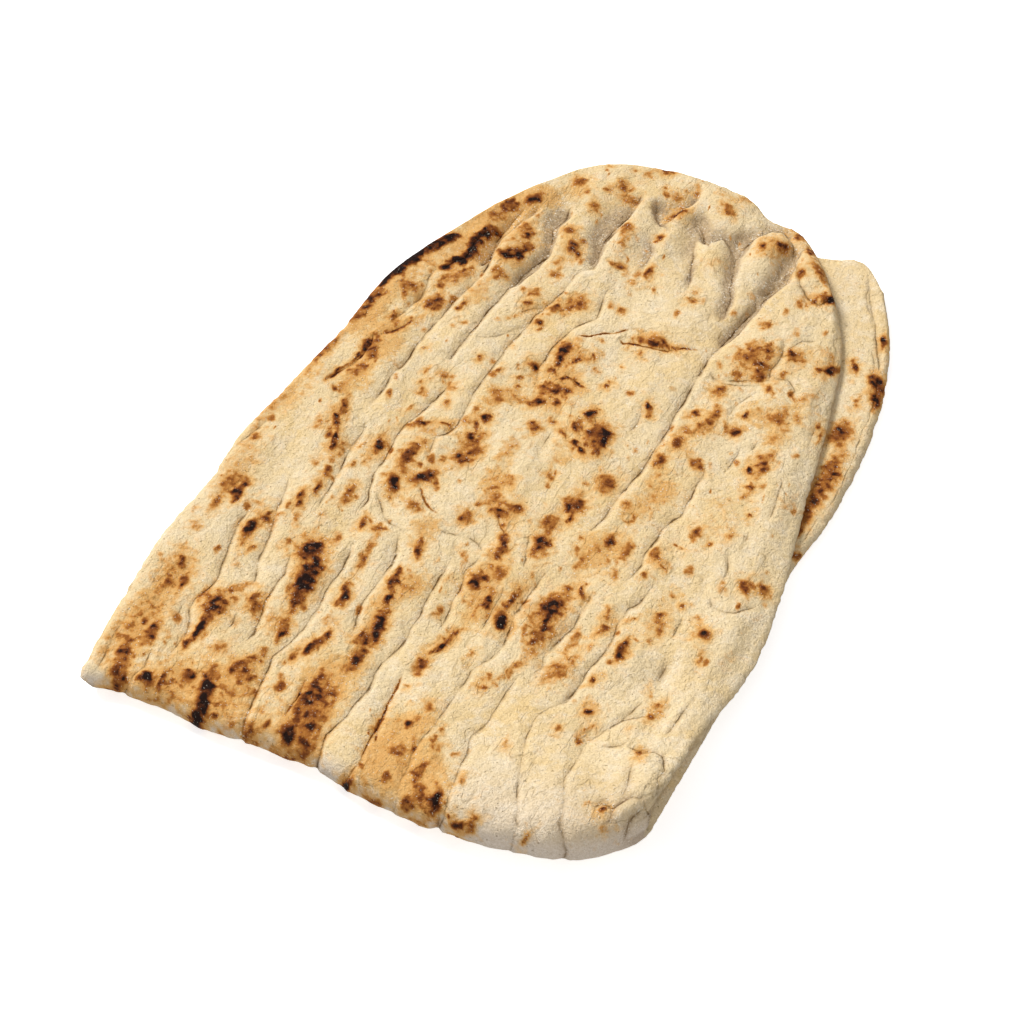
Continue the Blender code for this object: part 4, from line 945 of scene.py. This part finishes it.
def makeBread():
    slab = flatSlab()
    print("slab cells split:", len(slab.faces), "triangles")
    bread, looks = shapedBread(np.array([v.co for v in slab.verts]))
    low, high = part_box("lavash")
    for axis in range(3):
        bread[:, axis] = np.clip(bread[:, axis], low[axis] / mm, high[axis] / mm)
    for vertex, place in zip(slab.verts, bread * mm):
        vertex.co = place
    bmesh.ops.recalc_face_normals(slab, faces=slab.faces[:])
    mesh = bpy.data.meshes.new("bread")
    slab.to_mesh(mesh)
    slab.free()
    for name, values in looks.items():
        layer = mesh.attributes.new(name, "FLOAT", "POINT")
        layer.data.foreach_set("value", values.astype(np.float32))
    mesh.shade_smooth()
    piece = bpy.data.objects.new("bread", mesh)
    bpy.context.scene.collection.objects.link(piece)
    return piece


def nodeMaker(tree):
    def make(kind, inputs=None, **settings):
        node = tree.nodes.new(kind)
        for name, value in settings.items():
            setattr(node, name, value)
        for key, value in (inputs or {}).items():
            if isinstance(value, bpy.types.NodeSocket):
                tree.links.new(value, node.inputs[key])
            else:
                node.inputs[key].default_value = value
        return node
    return make


crustLook = {
    "cream": (0.788, 0.625, 0.380, 1),
    "paleFlour": (0.845, 0.725, 0.535, 1),
    "warmCream": (0.765, 0.560, 0.280, 1),
    "greyDustAndShade": (0.400, 0.285, 0.175, 1),
    "golden": (0.720, 0.460, 0.185, 1),
    "palerToast": (0.770, 0.470, 0.175, 1),
    "darkerToast": (0.650, 0.325, 0.088, 1),
    "frontFlourAndShade": (0.750, 0.640, 0.530, 1),
    "lineShade": (0.440, 0.370, 0.250, 1),
    "shadeByLines": (0.540, 0.430, 0.310, 1),
    "rimShade": (0.600, 0.530, 0.450, 1),
    "flourGrain": (0.950, 0.860, 0.690, 1),
    "roughness": 0.86,
    "specular": 0.06,
    # How many lumps of noise there are to a metre
    "broadLumps": 38,
    "mediumLumps": 150,
    "blotchLumps": 280,
    "blobLumps": 300,
    "fineLumps": 480,
    "pitLumps": 900,
    "flourLumps": 1100,
    "finestLumps": 1300,
    "wrinkleLumps": 130,
    "wrinklePatches": 60,
    # Relief in millimetres
    "lineRelief": -0.5,
    "wrinkleRelief": -0.16,
    "blotchRelief": 0.7,
    "fineRelief": 0.85,
    "finestRelief": 0.5,
    "flourRelief": 0.12,
    "pitRelief": -0.15,
    # Reach of the dark line, of the shade beside it and of its char, in millimetres
    "lineReach": 0.34,
    "shadeReach": 1.1,
    "charReach": 0.75,
    # Char colours by how burnt the place is
    "char": [
        (0.00, (0.740, 0.450, 0.175)), (0.36, (0.605, 0.290, 0.076)), (0.53, (0.380, 0.142, 0.028)),
        (0.72, (0.190, 0.054, 0.012)), (0.88, (0.072, 0.020, 0.007)), (1.00, (0.018, 0.008, 0.006)),
    ],
}


def crustMaterial():
    look = crustLook
    material = bpy.data.materials.new("baked crust")
    material.use_nodes = True
    tree = material.node_tree
    make = nodeMaker(tree)
    surface = tree.nodes["Principled BSDF"]
    surface.inputs["Roughness"].default_value = look["roughness"]
    surface.inputs["Specular IOR Level"].default_value = look["specular"]
    place = make("ShaderNodeTexCoord").outputs["Object"]

    def maths(operation, first, second=0.0, third=0.0, clamp=False):
        return make("ShaderNodeMath", {0: first, 1: second, 2: third}, operation=operation,
                    use_clamp=clamp).outputs[0]

    def grain(scale, detail=3.0, roughness=0.55):
        return make("ShaderNodeTexNoise", {"Vector": place, "Scale": scale, "Detail": detail,
                                           "Roughness": roughness}).outputs["Fac"]

    def mixed(share, first, second, blend="MIX"):
        return make("ShaderNodeMix", {0: share, 6: first, 7: second}, data_type="RGBA",
                    blend_type=blend).outputs[2]

    def between(value, low, high, start=0.0, end=1.0):
        return make("ShaderNodeMapRange", {"Value": value, "From Min": low, "From Max": high,
                                           "To Min": start, "To Max": end}).outputs[0]

    def stored(name):
        return make("ShaderNodeAttribute", attribute_name=name).outputs["Fac"]

    broad, medium, fine = (grain(look[name]) for name in ("broadLumps", "mediumLumps", "fineLumps"))
    finest = grain(look["finestLumps"], 2.0)
    blotch, blob = grain(look["blotchLumps"], 3.0, 0.62), grain(look["blobLumps"], 1.0, 0.35)

    # Plain crust: cream with warmer and flourier patches; painted shade on the front of the fold with a
    # floury grey tint, painted shade on the lower side of the rim, and grey flour with painted shade in the
    # hollows and the listed patches
    colour = mixed(between(broad, 0.4, 0.68), look["cream"], look["warmCream"])
    colour = mixed(between(medium, 0.45, 0.72, 0, 0.8), colour, look["paleFlour"])
    colour = mixed(maths("MULTIPLY", stored("frontFlourAndShade"), 0.95), colour, look["frontFlourAndShade"])
    colour = mixed(maths("MULTIPLY", stored("rimShade"), 0.8), colour, look["rimShade"], "MULTIPLY")
    dustAndShade = maths("MULTIPLY", stored("dustAndShade"), stored("dustAndShade"))
    dustAndShade = maths("MULTIPLY", dustAndShade, between(fine, 0.25, 0.6, 0.55, 1.1))
    colour = mixed(maths("MULTIPLY", dustAndShade, 0.8, clamp=True), colour, look["greyDustAndShade"])

    # Golden patches, and toasted halos, blotchy and with an uneven edge
    golden = maths("ADD", stored("golden"), between(medium, 0.25, 0.75, -0.22, 0.22))
    golden = maths("ADD", golden, between(blotch, 0.3, 0.7, -0.27, 0.27))
    goldenColour = mixed(between(golden, 0.50, 1.10), look["golden"], look["darkerToast"])
    colour = mixed(between(golden, 0.25, 0.70, 0, 0.92), colour, goldenColour)
    toast = maths("ADD", stored("toast"), between(medium, 0.25, 0.75, -0.16, 0.16))
    toast = maths("ADD", toast, between(blob, 0.25, 0.75, -0.18, 0.18))
    toastColour = mixed(between(toast, 0.40, 1.0), look["palerToast"], look["darkerToast"])
    colour = mixed(between(toast, 0.17, 0.60, 0, 0.90), colour, toastColour)

    # The highest of the line layers' values, faded over the given distance from each line
    def besideLines(name, reach):
        highest = None
        for layer in range(lineLayers):
            way = maths("DIVIDE", stored(f"lineWay{layer}"), reach)
            near = maths("EXPONENT", maths("MULTIPLY", maths("MULTIPLY", way, way), -1.0))
            near = maths("MULTIPLY", near, stored(f"{name}{layer}"))
            highest = near if highest is None else maths("MAXIMUM", highest, near)
        return highest

    # Char, blotchy too, with an edge that the grain makes uneven
    burn = maths("MAXIMUM", stored("burn"), besideLines("lineChar", look["charReach"]))
    burn = maths("MULTIPLY", burn, between(blob, 0.28, 0.72, 0.82, 1.18))
    burn = maths("ADD", burn, maths("MULTIPLY", stored("toast"), between(blob, 0.50, 0.66, 0, 0.27)))
    burn = maths("ADD", burn, between(fine, 0.25, 0.75, -0.12, 0.12))
    burn = maths("ADD", burn, between(finest, 0.25, 0.75, -0.07, 0.07))
    ramp = make("ShaderNodeValToRGB", {0: burn})
    stops = ramp.color_ramp.elements
    for index, (spot, shade) in enumerate(look["char"]):
        stop = stops[index] if index < 2 else stops.new(spot)
        stop.position = spot
        stop.color = (*shade, 1)
    colour = mixed(between(burn, 0.10, 0.42), colour, ramp.outputs["Color"])

    # Pressed lines: a dark line in each crack, a little broken, partly the crack's own colour and partly
    # painted shade; painted shade beside the lines; and thin dark wrinkles that run mostly along the bread
    nearest = besideLines("lineDepth", look["lineReach"])
    line = maths("MULTIPLY", nearest, between(blotch, 0.3, 0.6, 0.35, 1.15))
    colour = mixed(maths("MULTIPLY", line, 0.95, clamp=True), colour, look["lineShade"], "MULTIPLY")
    beside = besideLines("lineDepth", look["shadeReach"])
    shade = maths("MULTIPLY", beside, between(blotch, 0.3, 0.6, 0.15, 0.6), clamp=True)
    colour = mixed(shade, colour, look["shadeByLines"], "MULTIPLY")
    drawnOut = make("ShaderNodeMapping", {"Vector": place, "Scale": (1.0, 0.32, 1.0)}).outputs[0]
    wrinkle = make("ShaderNodeTexNoise", {
        "Vector": drawnOut, "Scale": look["wrinkleLumps"], "Detail": 2.0,
    }).outputs["Fac"]
    wrinkle = maths("ABSOLUTE", maths("SUBTRACT", wrinkle, 0.5))
    wrinkle = between(wrinkle, 0.0, 0.022, 1, 0)
    wrinkle = maths("MULTIPLY", wrinkle, between(grain(look["wrinklePatches"]), 0.45, 0.6))
    colour = mixed(maths("MULTIPLY", wrinkle, 0.42, clamp=True), colour, look["lineShade"], "MULTIPLY")

    # Grain of the crust, and flecks of flour
    colour = mixed(1.0, colour, make("ShaderNodeCombineColor", {
        0: between(finest, 0.3, 0.7, 0.89, 1.10),
        1: between(finest, 0.3, 0.7, 0.86, 1.11),
        2: between(finest, 0.3, 0.7, 0.80, 1.14),
    }).outputs[0], "MULTIPLY")
    specks = maths("ADD", grain(look["flourLumps"], 2.0), maths("MULTIPLY", stored("dustAndShade"), 0.07))
    fleck = between(specks, 0.64, 0.70)
    fleck = maths("MULTIPLY", fleck, between(medium, 0.42, 0.58, 0.25, 1.0))
    fleck = maths("MULTIPLY", fleck, between(burn, 0.3, 0.9, 1.0, 0.35))
    pit = between(grain(look["pitLumps"], 0.0), 0.24, 0.18)
    colour = mixed(maths("MULTIPLY", pit, 0.55, clamp=True), colour, look["lineShade"], "MULTIPLY")
    colour = mixed(maths("MULTIPLY", fleck, 0.75, clamp=True), colour, look["flourGrain"])

    tree.links.new(colour, surface.inputs["Base Color"])

    # Fine relief
    height = maths("MULTIPLY", line, look["lineRelief"])
    reliefs = {"wrinkleRelief": wrinkle, "blotchRelief": blotch, "fineRelief": fine, "finestRelief": finest,
               "flourRelief": fleck, "pitRelief": pit}
    for name, layer in reliefs.items():
        height = maths("ADD", height, maths("MULTIPLY", layer, look[name]))
    bump = make("ShaderNodeBump", {"Height": height, "Distance": mm, "Strength": 1.0})
    tree.links.new(bump.outputs["Normal"], surface.inputs["Normal"])
    return material


studio = {
    "skyStrength": 0.45,
    "keyStrength": 1.03,
    "fillStrength": 0.22,
    "fillAzimuth": 24.0,
    "fillElevation": 14.0,
    "fillSoftness": 50.0,
    "keyWay": (-0.934, 0.358),
    "keyElevation": 42.0,
    "keySoftness": 22.0,
    "floorSize": 12.0,
    "floorColour": (0.92, 0.92, 0.92, 1),
    "floorRoughness": 0.9,
    "floorGlow": 0.62,
    "white": (1, 1, 1, 1),
    "lampDistance": 2,
}


def makeStudio():
    scene = bpy.context.scene
    scene.view_settings.view_transform = "Standard"
    world = bpy.data.worlds.new("studio")
    world.use_nodes = True
    sky = world.node_tree.nodes["Background"]
    sky.inputs["Color"].default_value = studio["white"]
    sky.inputs["Strength"].default_value = studio["skyStrength"]
    scene.world = world

    def sunLamp(name, wayX, wayY, elevation, strength, softness):
        lamp = bpy.data.lights.new(name, "SUN")
        lamp.energy = strength * math.pi
        lamp.angle = math.radians(softness)
        level = math.cos(math.radians(elevation))
        toLight = Vector((wayX * level, wayY * level, math.sin(math.radians(elevation))))
        holder = bpy.data.objects.new(name, lamp)
        holder.location = toLight * studio["lampDistance"]
        holder.rotation_euler = toLight.to_track_quat("Z", "Y").to_euler()
        scene.collection.objects.link(holder)

    sunLamp("key", *studio["keyWay"], studio["keyElevation"], studio["keyStrength"], studio["keySoftness"])
    fill = math.radians(studio["fillAzimuth"])
    sunLamp("fill", math.sin(fill), -math.cos(fill), studio["fillElevation"], studio["fillStrength"],
            studio["fillSoftness"])

    board = bmesh.new()
    bmesh.ops.create_grid(board, x_segments=1, y_segments=1, size=studio["floorSize"] / 2)
    mesh = bpy.data.meshes.new("floor")
    board.to_mesh(mesh)
    board.free()
    floor = bpy.data.objects.new("floor", mesh)
    material = bpy.data.materials.new("pale floor")
    material.use_nodes = True
    surface = material.node_tree.nodes["Principled BSDF"]
    surface.inputs["Base Color"].default_value = studio["floorColour"]
    surface.inputs["Roughness"].default_value = studio["floorRoughness"]
    surface.inputs["Emission Color"].default_value = studio["white"]
    surface.inputs["Emission Strength"].default_value = studio["floorGlow"]
    mesh.materials.append(material)
    scene.collection.objects.link(floor)
    floor.visible_diffuse = False

    place, back = cameraPlace()
    lens = bpy.data.cameras.new("photo camera")
    lens.lens = photoCamera["lens"]
    lens.sensor_width = photoCamera["sensor"]
    lens.clip_start = photoCamera["nearest"]
    lens.clip_end = photoCamera["farthest"]
    camera = bpy.data.objects.new("photo camera", lens)
    camera.location = Vector(place - np.array([*photoCamera["planMiddle"], 0.0])) * mm
    camera.rotation_euler = Vector(back).to_track_quat("Z", "Y").to_euler()
    scene.collection.objects.link(camera)
    scene.camera = camera


bread = makeBread()
bread.data.materials.append(crustMaterial())
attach(bread, "root")
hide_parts("lavash")
print("bread made:", len(bread.data.polygons), "triangles")

makeStudio()
print("studio and camera placed")
